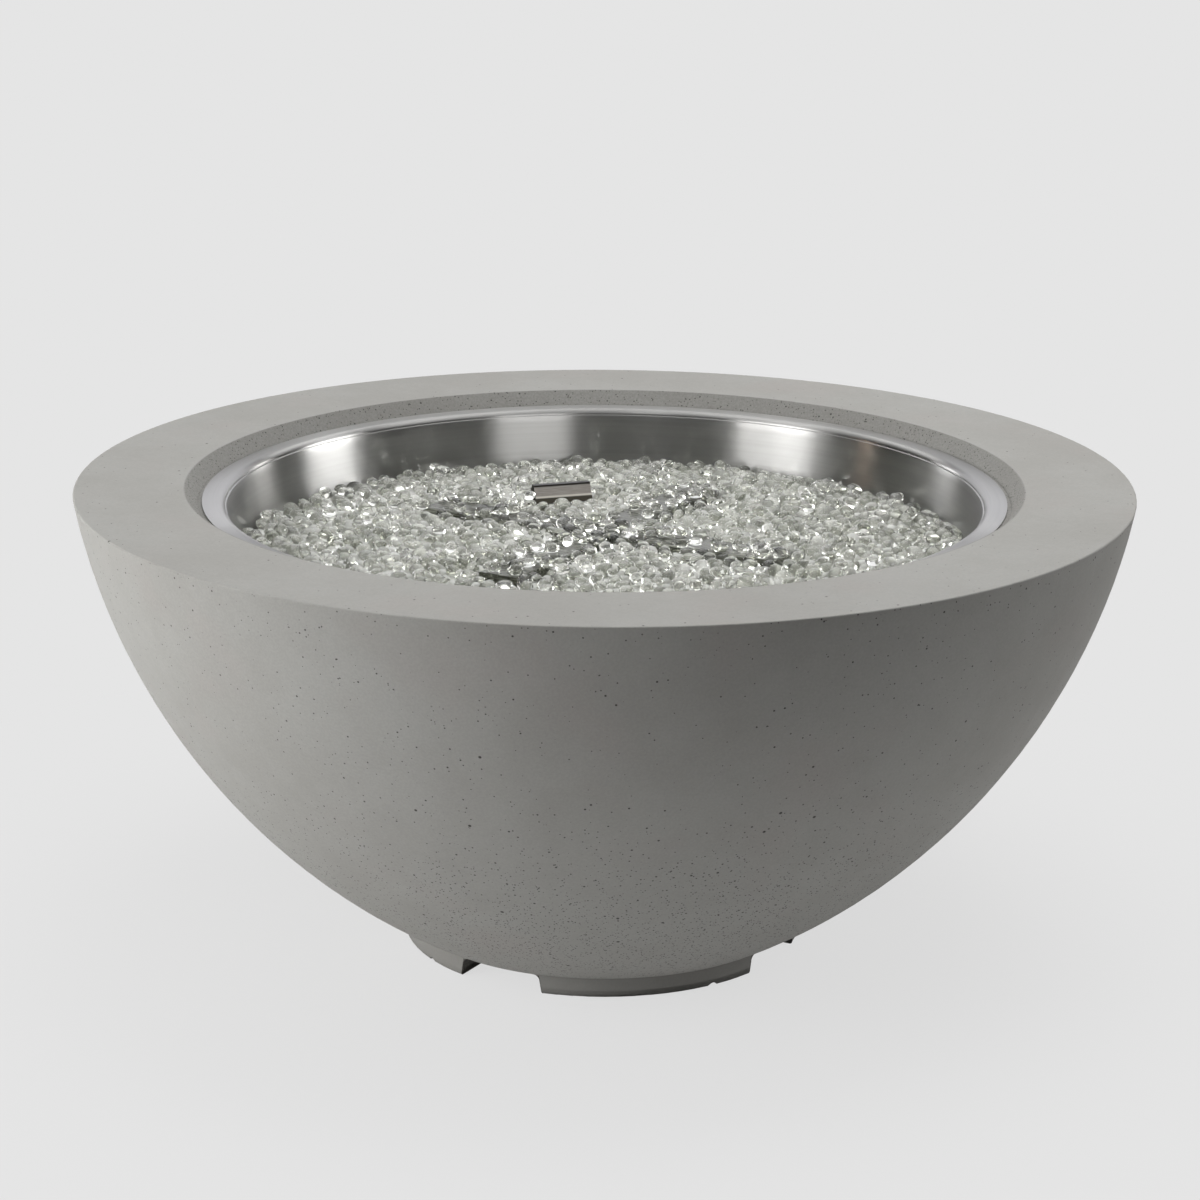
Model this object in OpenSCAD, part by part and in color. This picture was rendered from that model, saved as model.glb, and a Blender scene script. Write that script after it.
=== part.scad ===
// Round cast bowl fire pit with a drop-in gas burner pan and a control niche in its back wall.
// Millimetres, +Z up. The origin is the middle of the bowl's footprint on the ground.
// The four burner arms and the four gaps between the feet lie along X and Y; the controls face +Y.

/* [Bowl] */
// Outer diameter of the bowl at its rim
bowl_d = 1067; // [960:1:1200]
// Height from the ground to the top of the rim
bowl_h = 480; // [440:1:560]
// Radius of the arc that the outer wall follows in section
wall_arc_r = 660; // [600:5:800]
// Thickness of the cast wall
wall_t = 22; // [16:1:34]
// Thickness of the flat rim
rim_t = 36; // [30:1:50]
// Thickness of the floor above the feet
floor_t = 26; // [18:1:40]
// Diameter of the gas line opening in the floor
floor_hole_d = 160; // [100:1:220]
// Rounding of the rim's edges
rim_edge_r = 1.5; // [1:0.5:6]

/* [Feet] */
// Outer diameter of the ring of feet
foot_d = 412; // [360:1:460]
// Radial width of the feet
foot_w = 46; // [30:1:60]
// Height of the feet
foot_h = 20; // [14:1:30]
// Width of the gaps between the feet
foot_gap_w = 90; // [60:1:120]
// How much each end of a foot slopes outwards
foot_end_slope = 2.5; // [0:0.5:5]
// Rounding at the top corners of the gaps
foot_gap_r = 7; // [3:0.5:10]
// Rounding of the feet's lower outer edge
foot_edge_r = 3; // [1:0.5:6]
// Width of the small drip notch under each foot
drip_w = 12; // [6:1:20]
// Height of the small drip notch under each foot
drip_h = 3.5; // [2:0.5:5]
// Angle from a gap's middle to the next drip notch
drip_angle = 27; // [20:1:60]

/* [Rim recess] */
// Depth of the recess below the rim, down to the ledge that carries the pan
recess_depth = 16; // [10:1:24]
// How much wider the recess is at the rim than at the ledge, on each side
recess_flare = 12.5; // [4:0.5:18]
// Gap between the pan's flange and the recess
flange_gap = 4; // [2:0.5:8]
// Gap between the bend of the pan's flange and the opening it hangs in
pan_gap = 1; // [0.5:0.5:2]

/* [Burner pan] */
// Inside diameter of the pan at its flange
pan_d = 762; // [640:1:800]
// Width of the pan's flange beyond its wall
flange_w = 23; // [20:1:30]
// Width of the small step between the flange's bend and the wall
lip_step = 5; // [3:0.5:6]
// Height of the small step between the flange's bend and the wall
lip_drop = 2.5; // [2:0.5:4]
// Thickness of the pan's sheet
pan_t = 2; // [1:0.25:3]
// Depth of the pan from its flange to its floor
pan_depth = 82; // [70:1:110]
// How much the pan's wall leans in, top to floor
pan_draft = 6; // [0:1:14]
// Bend radius between the flange and the wall
flange_bend_r = 5; // [3:0.5:7]
// Bend radius between the wall and the floor
floor_bend_r = 14; // [6:1:24]
// Diameter of the weep holes in the pan's floor
weep_d = 6; // [3:0.5:10]
// Number of weep holes
weep_count = 8; // [4:1:16]

/* [Glass bed] */
// Depth of the glass below the flange at the pan's wall
bed_drop = 56; // [46:1:62]
// How much the glass is heaped up towards the middle
bed_rise = 21; // [6:1:26]
// Distance from gem to gem in the top of the bed
gem_size = 18; // [16:1:30]
// Depth of the hollows between the gems
gem_relief = 11; // [4:1:12]

/* [Burner] */
// Length of a burner arm from the middle
arm_len = 205; // [150:1:280]
// Width of a burner arm
arm_w = 46; // [34:1:60]
// Height of a burner arm above its base
arm_h = 26; // [16:1:32]
// Bend radius along the top edges of an arm
arm_edge_r = 3; // [2:0.5:5]
// Thickness of the burner's sheet
burner_t = 1.5; // [1:0.25:2.5]
// Width of the base's lip beside an arm
base_lip = 6; // [3:1:10]
// Height of the stand-offs under the burner
standoff_h = 16; // [12:1:24]
// Distance of the stand-offs from the middle
standoff_pos = 150; // [90:1:180]
// Diameter of the gas jets
jet_d = 2.5; // [1.5:0.1:4]
// Distance between gas jets
jet_pitch = 26; // [16:1:40]
// Outer diameter of the burner's inlet pipe
inlet_pipe_d = 21.3; // [17:0.1:27]
// Length of the inlet pipe below the burner's base
inlet_pipe_l = 64; // [56:1:90]
// Outer diameter of the air mixer
mixer_d = 32; // [30:1:44]
// Length of the air mixer's body
mixer_l = 76; // [66:1:110]

/* [Igniter hood] */
// Distance of the hood from the middle
hood_r = 150; // [110:1:200]
// Direction of the hood from +X
hood_az = 138; // [120:1:150]
// Length of the hood
hood_len = 62; // [50:1:80]
// Height of the hood above the pan's floor
hood_h = 56; // [48:1:70]
// Thickness of the hood's sheet
hood_t = 1.2; // [0.8:0.1:2]
// Distance between the spark rod and the flame sensor
probe_gap = 28; // [20:1:36]

/* [Controls] */
// Width of the control panel
panel_w = 150; // [146:1:180]
// Height of the control panel
panel_h = 90; // [86:1:120]
// Thickness of the control panel
panel_t = 2; // [1:0.5:3]
// Height of the panel's middle above the ground
panel_z = 236; // [210:1:270]
// Least depth of the niche in front of the panel
niche_lip = 10; // [6:1:30]
// Thickness of the cast web behind the panel
web_t = 25; // [18:1:28]
// Thickness of the cast walls round the niche
niche_wall = 20; // [12:1:30]
// Place of the valve across the panel
valve_x = -34; // [-36:1:-30]
// Place of the igniter across the panel
igniter_x = 38; // [34:1:40]
// Outer diameter of the control knob
knob_d = 44; // [40:1:50]
// Travel of the knob when it is pushed
knob_travel = 3; // [2:0.5:4]
// Travel of the igniter button when it is pushed
button_travel = 2.5; // [1.5:0.5:3]

/* [Gas fittings] */
// Diameter of the flare fittings
flare_d = 15.88; // [12.7:0.01:19.05]
// Length of the flare fittings
flare_l = 24; // [20:1:30]
// Diameter of the flexible gas hose
hose_d = 15; // [10:0.5:18]

/* [Hidden] */
$fn = 64;
big_fn = 180;
eps = 0.01;
// Clearances: a threaded or sliding pair, a loose hole, and two pieces that only just clear each other
fit_gap = 0.05;
hole_gap = 0.2;
rest_gap = 0.3;
// Reach of a cutting shape past what it cuts
over = 200;

// Bowl section
rim_r = bowl_d / 2;
foot_r = foot_d / 2;
floor_z = foot_h + floor_t;
hollow_top_z = bowl_h - rim_t;
wall_chord = [rim_r - foot_r, bowl_h - foot_h];
wall_mid = [rim_r + foot_r, bowl_h + foot_h] / 2;
wall_rise = sqrt(pow(wall_arc_r, 2) - pow(norm(wall_chord) / 2, 2));
wall_c = wall_mid + wall_rise * [-wall_chord[1], wall_chord[0]] / norm(wall_chord);
function wall_r(z) = wall_c[0] + sqrt(pow(wall_arc_r, 2) - pow(z - wall_c[1], 2));

// Pan and the recess that holds it
pan_r = pan_d / 2 + pan_t / 2;
flange_r = pan_r + pan_t / 2 + flange_w;
ledge_z = bowl_h - recess_depth;
flange_z = ledge_z + pan_t;
floor_top = flange_z - pan_depth;
floor_under = floor_top - pan_t;
opening_r = pan_r + lip_step + flange_bend_r + pan_gap;
recess_low_r = flange_r + flange_gap;
recess_top_r = recess_low_r + recess_flare;
recess_lean = atan(recess_flare / recess_depth);
pan_floor_r = pan_r - pan_draft;
weep_pos = pan_floor_r - floor_bend_r - 4 * weep_d;
bed_r = pan_floor_r - pan_t / 2 - rest_gap;
bed_floor_r = pan_floor_r - pan_t / 2 - floor_bend_r;
bed_z = flange_z - bed_drop;
gem_step = gem_size / sqrt(2);
gem_rows = ceil(bed_r / gem_step);
gem_play = gem_size / 8;
gem_proud = 2;

// Burner
base_z = floor_top + standoff_h;
shell_z = base_z + burner_t;
jet_first = arm_w;
jet_side = arm_w / 2 - 9;
screw_d = 5;
screw_head_h = 3;
screw_head_d = 9;
standoff_d = 12;
burner_nut_d = 9.2;
burner_nut_h = 4;
locknut_d = 32;
locknut_h = 8;
pipe_wall = 2.75;
pipe_low_z = shell_z - inlet_pipe_l;
pipe_grip = 14;
mixer_top_z = pipe_low_z + pipe_grip;
mixer_low_z = mixer_top_z - mixer_l;
orifice_d = 10;
orifice_l = 16;
orifice_hole_d = 1.6;
air_hole_d = 9;
seat_l = 20;
mix_bore_d = inlet_pipe_d - 2 * pipe_wall;
flare_bore_d = 8;

// Flare nut
nut_flat_d = 25.4;
nut_l = 22;
nut_grip = 16;
nut_neck_d = 10;

// Hood, spark rod and flame sensor
hood_top_z = floor_top + hood_h;
hood_half = 14;
hood_flat = 3;
hood_skirt = 18;
hood_foot = 16;
probe_low_z = floor_under - 16;
bracket_z = floor_top + 14;
rod_d = 7;
sensor_d = 6;
spark_d = 2;
hood_screw_side = 20;

// Control panel and the niche
panel_corner = 6;
panel_gap = 1.5;
niche_w = panel_w + 2 * panel_gap;
niche_h = panel_h + 2 * panel_gap;
niche_low_z = panel_z - niche_h / 2;
panel_y = sqrt(pow(wall_r(niche_low_z), 2) - pow(niche_w / 2, 2)) - niche_lip;
panel_screw_x = panel_w / 2 - 9;
panel_screw_y = panel_h / 2 - 9;
web_open_w = 112;
web_open_h = 48;
panel_screw_d = 4;
panel_screw_l = 14;
panel_head_h = 2.4;
panel_key_d = 2.9;
insert_d = 7;
insert_l = 16;

// Valve, measured out from the back of the panel
valve_d = 36;
valve_l = 56;
valve_neck_d = 18;
valve_port = -42;
bezel_t = 1.2;
bezel_d = 62;
valve_nut_d = 27.8;
valve_nut_h = 5;
bezel_top = panel_t + bezel_t;
neck_top = bezel_top + valve_nut_h + 1;
stem_d = 8;
stem_flat = 3;
chamber_d = 14;
chamber_top = -8;
chamber_low = -44;
collar_d = 12;
collar_h = 4;
collar_top = chamber_top - rest_gap;
plunger_h = 4;
plunger_top = collar_top - collar_h;
knob_low = bezel_top + knob_travel + 1.2;
knob_l = 22;
knob_top = knob_low + knob_l;
knob_cap = 4;
knob_hollow_d = 34;
knob_hollow_h = max(7.5, neck_top + knob_travel + 0.8 - knob_low);
knob_flutes = 14;
knob_screw_d = 3;
knob_screw_l = 8;
lead_port_d = 10;
lead_port_l = 8;

// Igniter, measured out from the back of the panel
igniter_d = 27;
igniter_l = 62;
igniter_neck_d = 22;
igniter_neck_top = panel_t + 4;
igniter_bore_d = 15;
igniter_back = 4;
bezel_ring_d = 30;
bezel_ring_l = 15;
bezel_ring_front = 2;
button_d = 16;
button_flange_d = 21;
button_flange_h = 1.5;
button_proud = 5;
ring_front_z = panel_t + bezel_ring_l - bezel_ring_front;
button_flange_z = ring_front_z - rest_gap - button_flange_h;
battery_d = 14.2;
battery_l = 48;
battery_nub = 1.5;

// Routes of the hose and the two leads, from the controls to the burner, between their straight ends
hose_start = [valve_x - valve_d / 2 - flare_l - nut_l + nut_grip, panel_y + valve_port, panel_z];
hose_end = [0, 0, mixer_low_z - flare_l - nut_l + nut_grip];
hose_route = concat(
    [hose_start - [20, 0, 0]],
    [[-160, 325, 228], [-205, 270, 205], [-195, 190, 175], [-125, 100, 152], [-50, 38, 150], [-8, 5, 180]],
    [hose_end - [0, 0, 18]]
);
sensor_pos = probe_place(-probe_gap / 2);
spark_pos = probe_place(probe_gap / 2);
sensor_start = [valve_x, panel_y + valve_port, panel_z - valve_d / 2 - lead_port_l];
sensor_end = [sensor_pos[0], sensor_pos[1], probe_low_z];
sensor_route = concat(
    [sensor_start - [0, 0, 12]],
    [[-60, 320, 168], [-115, 265, 155], [-155, 190, 200], [-150, 130, 280]],
    [sensor_end - [0, 0, 24]]
);
spark_start = [igniter_x, panel_y - igniter_l, panel_z];
spark_end = [spark_pos[0], spark_pos[1], probe_low_z];
spark_route = concat(
    [spark_start - [0, 20, 0]],
    [[20, 240, 225], [-30, 185, 232], [-75, 140, 285]],
    [spark_end - [0, 0, 24]]
);
sensor_lead_d = 3;
spark_lead_d = 5;

// Place of a probe beside the hood's middle line
function probe_place(side) = [
    hood_r * cos(hood_az) - side * sin(hood_az),
    hood_r * sin(hood_az) + side * cos(hood_az)
];

// Points on an arc from one angle to another
function arc(c, r, from, to, n) = [
    for (i = [0:n]) c + r * [cos(from + (to - from) * i / n), sin(from + (to - from) * i / n)]
];

// Left-hand unit normal of the step from p to q
function side_of(p, q) = [p[1] - q[1], q[0] - p[0]] / norm(q - p);

// Mitre at point i of a bent sheet's middle line
function mitre(p, i) =
    let (
        a = i == 0 ? side_of(p[0], p[1]) : side_of(p[i - 1], p[i]),
        b = i == len(p) - 1 ? a : side_of(p[i], p[i + 1])
    )
    (a + b) / (1 + a * b);

// Outline of a bent sheet of thickness t from its middle line
function bent_sheet(p, t) = concat(
    [for (i = [0:len(p) - 1]) p[i] + mitre(p, i) * t / 2],
    [for (i = [len(p) - 1:-1:0]) p[i] - mitre(p, i) * t / 2]
);

// Point on a smooth curve between b and c, with a and d beyond them
function smooth(a, b, c, d, t) =
    b + t / 2 * (c - a) + t * t * (a - 2.5 * b + 2 * c - d / 2) + t * t * t / 2 * (3 * b - a - 3 * c + d);

// Smooth route through hand-chosen points, n steps between them, with a straight start and end
function route(start, p, end, n) = concat(
    [start],
    [
        for (i = [0:len(p) - 2], j = [0:n - 1])
            smooth(p[max(i - 1, 0)], p[i], p[i + 1], p[min(i + 2, len(p) - 1)], j / n)
    ],
    [p[len(p) - 1], end]
);

// Points of a coil that climbs from low to high
function coil(r, low, high, turns, n) = [
    for (i = [0:turns * n]) [r * cos(360 * i / n), r * sin(360 * i / n), low + (high - low) * i / (turns * n)]
];

// Unit directions along a path
function along(p) = [
    for (i = [0:len(p) - 1])
        let (d = p[min(i + 1, len(p) - 1)] - p[max(i - 1, 0)]) d / norm(d)
];

// Sideways directions carried along a path without twisting
function carried(t, i, u) =
    let (w = u - (u * t[i]) * t[i], n = w / norm(w))
    i == len(t) - 1 ? [n] : concat([n], carried(t, i + 1, n));

// Round tube of diameter d along a path, with flat ends
module tube(p, d, sides) {
    t = along(p);
    first = abs(t[0][2]) < 0.9 ? [0, 0, 1] : [1, 0, 0];
    u = carried(t, 0, first);
    rings = len(p);
    points = [
        for (i = [0:rings - 1], k = [0:sides - 1])
            p[i] + d / 2 * (cos(360 * k / sides) * u[i] + sin(360 * k / sides) * cross(t[i], u[i]))
    ];
    wall = [
        for (i = [0:rings - 2], k = [0:sides - 1])
            let (a = i * sides + k, b = i * sides + (k + 1) % sides)
            each [[a, a + sides, b], [b, a + sides, b + sides]]
    ];
    last = (rings - 1) * sides;
    caps = [
        for (k = [1:sides - 2])
            each [[0, k, k + 1], [last, last + k + 1, last + k]]
    ];
    polyhedron(points, concat(wall, caps));
}

// Rectangle with round corners, about the origin
module round_rect(w, h, r) {
    square([w - 2 * r, h], center = true);
    square([w, h - 2 * r], center = true);
    for (x = [-1, 1], y = [-1, 1])
        translate([x * (w / 2 - r), y * (h / 2 - r)])
            circle(r);
}

// What rounding takes off a sharp edge: a wedge from one angle to another, less the round
module edge_cut(c, r, from, to) {
    far = 4 * r;
    mid = (from + to) / 2;
    translate(c)
        difference() {
            polygon([
                [0, 0],
                far * [cos(from), sin(from)],
                1.5 * far * [cos(mid), sin(mid)],
                far * [cos(to), sin(to)]
            ]);
            circle(r);
        }
}

// Ring or sleeve along Z
module sleeve(d, bore, low, high) {
    difference() {
        translate([0, 0, low])
            cylinder(d = d, h = high - low);
        translate([0, 0, low - 1])
            cylinder(d = bore, h = high - low + 2);
    }
}

// Round bar along Z
module bar(d, low, high) {
    translate([0, 0, low])
        cylinder(d = d, h = high - low);
}

// Hexagonal nut along Z, d across its corners
module hex_nut(d, bore, low, high) {
    difference() {
        translate([0, 0, low])
            cylinder(d = d, h = high - low, $fn = 6);
        translate([0, 0, low - 1])
            cylinder(d = bore, h = high - low + 2);
    }
}

// Flare nut along Z: it grips a fitting that enters from above and ends in a flat face for the hose
module flare_nut() {
    difference() {
        translate([0, 0, nut_grip - nut_l])
            cylinder(d = nut_flat_d, h = nut_l, $fn = 6);
        bar(flare_d + 2 * fit_gap, 0, nut_grip + 1);
        bar(nut_neck_d, nut_grip - nut_l - 1, 1);
    }
}

// Puts a piece on the control panel: its Z points out of the panel, from the panel's back
module on_panel(x, up = 0) {
    translate([x, panel_y, panel_z + up])
        rotate([-90, 0, 0])
            children();
}

// Four corners of the control panel
module panel_corners() {
    for (x = [-1, 1], y = [-1, 1])
        on_panel(x * panel_screw_x, y * panel_screw_y)
            children();
}

// Four arms of the burner
module each_arm() {
    for (a = [0:90:270])
        rotate(a)
            children();
}

// Puts a piece at the hood: X points away from the pan's middle, Z is the height above the ground
module at_hood() {
    rotate(hood_az)
        translate([hood_r, 0, 0])
            children();
}

// Plan of the burner's cross
module cross_plan(len, w) {
    square([2 * len, w], center = true);
    square([w, 2 * len], center = true);
}

// One straight bar of the cross, with rounded top edges
module cross_bar(len, w, h, r) {
    half = w / 2;
    translate([-len, 0, 0])
        rotate([90, 0, 90])
            linear_extrude(2 * len)
                polygon(concat(
                    [[-half, 0], [half, 0]],
                    arc([half - r, h - r], r, 0, 90, 4),
                    arc([r - half, h - r], r, 90, 180, 4)
                ));
}

module cross_block(len, w, h, r) {
    cross_bar(len, w, h, r);
    rotate(90)
        cross_bar(len, w, h, r);
}

// Outer form of the bowl above its feet
module bowl_outer_section() {
    intersection() {
        translate(wall_c)
            circle(wall_arc_r, $fn = 4 * big_fn);
        translate([0, foot_h])
            square([rim_r + over, bowl_h - foot_h]);
    }
}

module bowl_section() {
    edge_dir = atan2(bowl_h - rim_edge_r - wall_c[1], rim_r - rim_edge_r - wall_c[0]);
    edge_z = bowl_h - rim_edge_r;
    edge_c = [wall_c[0] + sqrt(pow(wall_arc_r - rim_edge_r, 2) - pow(edge_z - wall_c[1], 2)), edge_z];
    lip_c = [recess_top_r + rim_edge_r * (1 - sin(recess_lean)) / cos(recess_lean), edge_z];
    difference() {
        union() {
            bowl_outer_section();
            translate([foot_r - foot_w, 0])
                square([foot_w, foot_h + floor_t / 2]);
        }
        intersection() {
            translate(wall_c)
                circle(wall_arc_r - wall_t, $fn = 4 * big_fn);
            translate([0, floor_z])
                square([rim_r, hollow_top_z - floor_z]);
        }
        translate([0, hollow_top_z - over])
            square([opening_r, 2 * over]);
        square([floor_hole_d / 2, floor_z + over]);
        polygon([
            [0, ledge_z],
            [recess_low_r, ledge_z],
            [recess_top_r, bowl_h],
            [recess_top_r, bowl_h + over],
            [0, bowl_h + over]
        ]);
        edge_cut(edge_c, rim_edge_r, edge_dir, 90);
        edge_cut(lip_c, rim_edge_r, 90, 180 - recess_lean);
        edge_cut([foot_r - foot_edge_r, foot_edge_r], foot_edge_r, -90, 0);
    }
}

// Gap between two feet, seen along the gap
module foot_gap_section() {
    half = foot_gap_w / 2;
    inner = half - foot_gap_r;
    top = foot_h - foot_gap_r;
    polygon(concat(
        [[-half - foot_end_slope, -1], [half + foot_end_slope, -1]],
        arc([inner, top], foot_gap_r, 0, 90, 6),
        arc([-inner, top], foot_gap_r, 90, 180, 6)
    ));
}

// Cast block that holds the niche, inside the bowl's outer form
module niche_block() {
    block_w = niche_w + 2 * niche_wall;
    block_h = niche_h + 2 * niche_wall;
    intersection() {
        translate([-block_w / 2, panel_y - web_t, panel_z - block_h / 2])
            cube([block_w, over, block_h]);
        rotate_extrude($fn = big_fn)
            bowl_outer_section();
    }
}

module bowl_shell() {
    drip_r = (pow(drip_w / 2, 2) + pow(drip_h, 2)) / (2 * drip_h);
    color([0.66, 0.66, 0.64])
        difference() {
            union() {
                rotate_extrude($fn = big_fn)
                    bowl_section();
                niche_block();
            }
            for (a = [0, 90])
                rotate(a)
                    translate([-foot_d, 0, 0])
                        rotate([90, 0, 90])
                            linear_extrude(2 * foot_d)
                                foot_gap_section();
            for (a = [0:90:270])
                rotate(a - drip_angle)
                    translate([foot_r - 1.5 * foot_w, 0, drip_h - drip_r])
                        rotate([0, 90, 0])
                            cylinder(r = drip_r, h = 2 * foot_w);
            on_panel(0)
                linear_extrude(over)
                    round_rect(niche_w, niche_h, panel_corner + panel_gap);
            on_panel(0)
                translate([0, 0, -over / 2])
                    linear_extrude(over)
                        round_rect(web_open_w, web_open_h, panel_corner);
            panel_corners()
                bar(insert_d + 2 * fit_gap, -insert_l - fit_gap, 1);
        }
}

module panel_inserts() {
    color([0.72, 0.58, 0.3])
        panel_corners()
            sleeve(insert_d, panel_screw_d + 2 * fit_gap, -insert_l, 0);
}

module control_panel() {
    color([0.75, 0.75, 0.76])
        difference() {
            on_panel(0)
                linear_extrude(panel_t)
                    round_rect(panel_w, panel_h, panel_corner);
            on_panel(valve_x)
                bar(valve_neck_d + 2 * hole_gap, -1, panel_t + 1);
            on_panel(igniter_x)
                bar(igniter_neck_d + 2 * hole_gap, -1, panel_t + 1);
            panel_corners()
                bar(panel_screw_d + 2 * hole_gap, -1, panel_t + 1);
        }
}

module panel_screws() {
    color([0.55, 0.55, 0.56])
        panel_corners()
            difference() {
                union() {
                    bar(panel_screw_d, panel_t - panel_screw_l, panel_t + eps);
                    bar(2 * panel_screw_d, panel_t, panel_t + panel_head_h);
                }
                translate([0, 0, panel_t + 1])
                    cylinder(d = panel_key_d, h = panel_head_h, $fn = 6);
            }
}

module knob_bezel() {
    mark_in = knob_d / 2 + 2;
    mark_out = bezel_d / 2 - 2;
    color([0.7, 0.7, 0.71])
        on_panel(valve_x) {
            sleeve(bezel_d, valve_neck_d + 2 * hole_gap, panel_t, bezel_top);
            for (a = [0, 90, 180])
                rotate(a - 90)
                    translate([mark_in, -0.8, bezel_top - eps])
                        cube([mark_out - mark_in, 1.6, 0.4]);
        }
}

module valve_body() {
    color([0.72, 0.6, 0.34])
        on_panel(valve_x)
            difference() {
                union() {
                    bar(valve_d, -valve_l, 0);
                    bar(valve_neck_d, -1, neck_top);
                    bar(flare_d, -valve_l - flare_l, -valve_l + 1);
                    translate([0, 0, valve_port])
                        rotate([0, -90, 0])
                            bar(flare_d, 0, valve_d / 2 + flare_l);
                    translate([0, 0, valve_port])
                        rotate([-90, 0, 0])
                            bar(lead_port_d, 0, valve_d / 2 + lead_port_l);
                }
                bar(chamber_d, chamber_low, chamber_top);
                bar(stem_d + 2 * fit_gap, chamber_top - 1, neck_top + 1);
                bar(flare_bore_d, -valve_l - flare_l - 1, chamber_low + 1);
                translate([0, 0, valve_port])
                    rotate([0, -90, 0])
                        bar(flare_bore_d, 0, valve_d / 2 + flare_l + 1);
            }
}

module valve_nut() {
    color([0.76, 0.76, 0.77])
        on_panel(valve_x)
            hex_nut(valve_nut_d, valve_neck_d + 2 * fit_gap, bezel_top, bezel_top + valve_nut_h);
}

module stem_spring() {
    color([0.6, 0.6, 0.62])
        on_panel(valve_x)
            tube(coil(4.8, chamber_low + 1, plunger_top - plunger_h - 1, 7, 10), 1.3, 6);
}

module valve_plunger() {
    color([0.7, 0.58, 0.32])
        on_panel(valve_x)
            bar(chamber_d - 2 * fit_gap, plunger_top - plunger_h, plunger_top);
}

// Flat side of the stem and of the knob's bore, cut at a distance from the axis
module stem_flat_cut(at, low, high) {
    translate([at, -stem_d, low])
        cube([stem_d, 2 * stem_d, high - low]);
}

module valve_stem() {
    color([0.75, 0.74, 0.7])
        on_panel(valve_x)
            difference() {
                union() {
                    bar(stem_d, plunger_top, knob_top - knob_cap - rest_gap);
                    bar(collar_d, plunger_top, collar_top);
                }
                stem_flat_cut(stem_flat, knob_low + knob_hollow_h, knob_top + 1);
            }
}

module control_knob() {
    screw_z = (knob_low + knob_hollow_h + knob_top - knob_cap) / 2;
    flute_d = 5;
    color([0.12, 0.12, 0.13])
        on_panel(valve_x)
            difference() {
                union() {
                    bar(knob_d, knob_low, knob_top);
                    translate([-2, 3 - knob_d / 2, knob_top - eps])
                        cube([4, knob_d / 2, 1.2]);
                }
                bar(knob_hollow_d, knob_low - 1, knob_low + knob_hollow_h);
                difference() {
                    bar(stem_d + 2 * fit_gap, knob_low, knob_top - knob_cap);
                    stem_flat_cut(stem_flat + fit_gap, knob_low - 1, knob_top);
                }
                translate([0, 0, screw_z])
                    rotate([0, 90, 0])
                        bar(knob_screw_d + 2 * fit_gap, stem_flat, knob_d);
                for (i = [0:knob_flutes - 1])
                    rotate((i + 0.5) * 360 / knob_flutes)
                        translate([knob_d / 2 + flute_d / 4, 0, knob_low + 4])
                            cylinder(d = flute_d, h = knob_l);
            }
}

module knob_screw() {
    screw_z = (knob_low + knob_hollow_h + knob_top - knob_cap) / 2;
    color([0.4, 0.4, 0.42])
        on_panel(valve_x)
            translate([0, 0, screw_z])
                rotate([0, 90, 0])
                    bar(knob_screw_d, stem_flat + fit_gap, stem_flat + fit_gap + knob_screw_l);
}

module igniter_body() {
    color([0.14, 0.14, 0.15])
        on_panel(igniter_x)
            difference() {
                union() {
                    bar(igniter_d, -igniter_l, 0);
                    bar(igniter_neck_d, -1, igniter_neck_top);
                }
                bar(igniter_bore_d, igniter_back - igniter_l, igniter_neck_top + 1);
            }
}

battery_low = -battery_l - battery_nub - 1;

module igniter_battery() {
    color([0.2, 0.22, 0.26])
        on_panel(igniter_x) {
            bar(battery_d, battery_low, battery_low + battery_l);
            bar(battery_d / 3, battery_low + battery_l - eps, battery_low + battery_l + battery_nub);
        }
}

module battery_spring() {
    color([0.7, 0.7, 0.72])
        on_panel(igniter_x)
            tube(coil(5, igniter_back - igniter_l + 0.8, battery_low - 0.8, 3, 10), 1, 6);
}

module igniter_bezel() {
    color([0.74, 0.74, 0.75])
        on_panel(igniter_x)
            difference() {
                bar(bezel_ring_d, panel_t, panel_t + bezel_ring_l);
                bar(igniter_neck_d + 2 * fit_gap, panel_t - 1, ring_front_z);
                bar(button_d + 2 * fit_gap, panel_t, panel_t + bezel_ring_l + 1);
            }
}

module button_spring() {
    color([0.7, 0.7, 0.72])
        on_panel(igniter_x)
            tube(coil(9.2, igniter_neck_top + 0.7, button_flange_z - 0.7, 3, 12), 0.8, 6);
}

module igniter_button() {
    color([0.1, 0.1, 0.11])
        on_panel(igniter_x) {
            bar(button_d, button_flange_z, panel_t + bezel_ring_l + button_proud);
            bar(button_flange_d, button_flange_z, button_flange_z + button_flange_h);
        }
}

module hose_nut_valve() {
    color([0.74, 0.6, 0.32])
        translate([valve_x - valve_d / 2 - flare_l, panel_y + valve_port, panel_z])
            rotate([0, 90, 0])
                flare_nut();
}

module gas_hose() {
    color([0.78, 0.74, 0.5])
        tube(route(hose_start, hose_route, hose_end, 4), hose_d, 10);
}

module ignition_lead() {
    color([0.75, 0.25, 0.12])
        tube(route(spark_start, spark_route, spark_end, 5), spark_lead_d, 8);
}

module thermocouple_lead() {
    color([0.72, 0.42, 0.26])
        tube(route(sensor_start, sensor_route, sensor_end, 6), sensor_lead_d, 8);
}

// Middle line of the pan's sheet, from the flange's edge to the axis
flange_mid = flange_z - pan_t / 2;
pan_line = concat(
    [[flange_r, flange_mid]],
    arc([pan_r + lip_step + flange_bend_r, flange_mid - flange_bend_r], flange_bend_r, 90, 180, 6),
    [[pan_r, flange_mid - flange_bend_r - lip_drop]],
    arc([pan_floor_r - floor_bend_r, floor_top - pan_t / 2 + floor_bend_r], floor_bend_r, 0, -90, 6),
    [[0, floor_top - pan_t / 2]]
);

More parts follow.
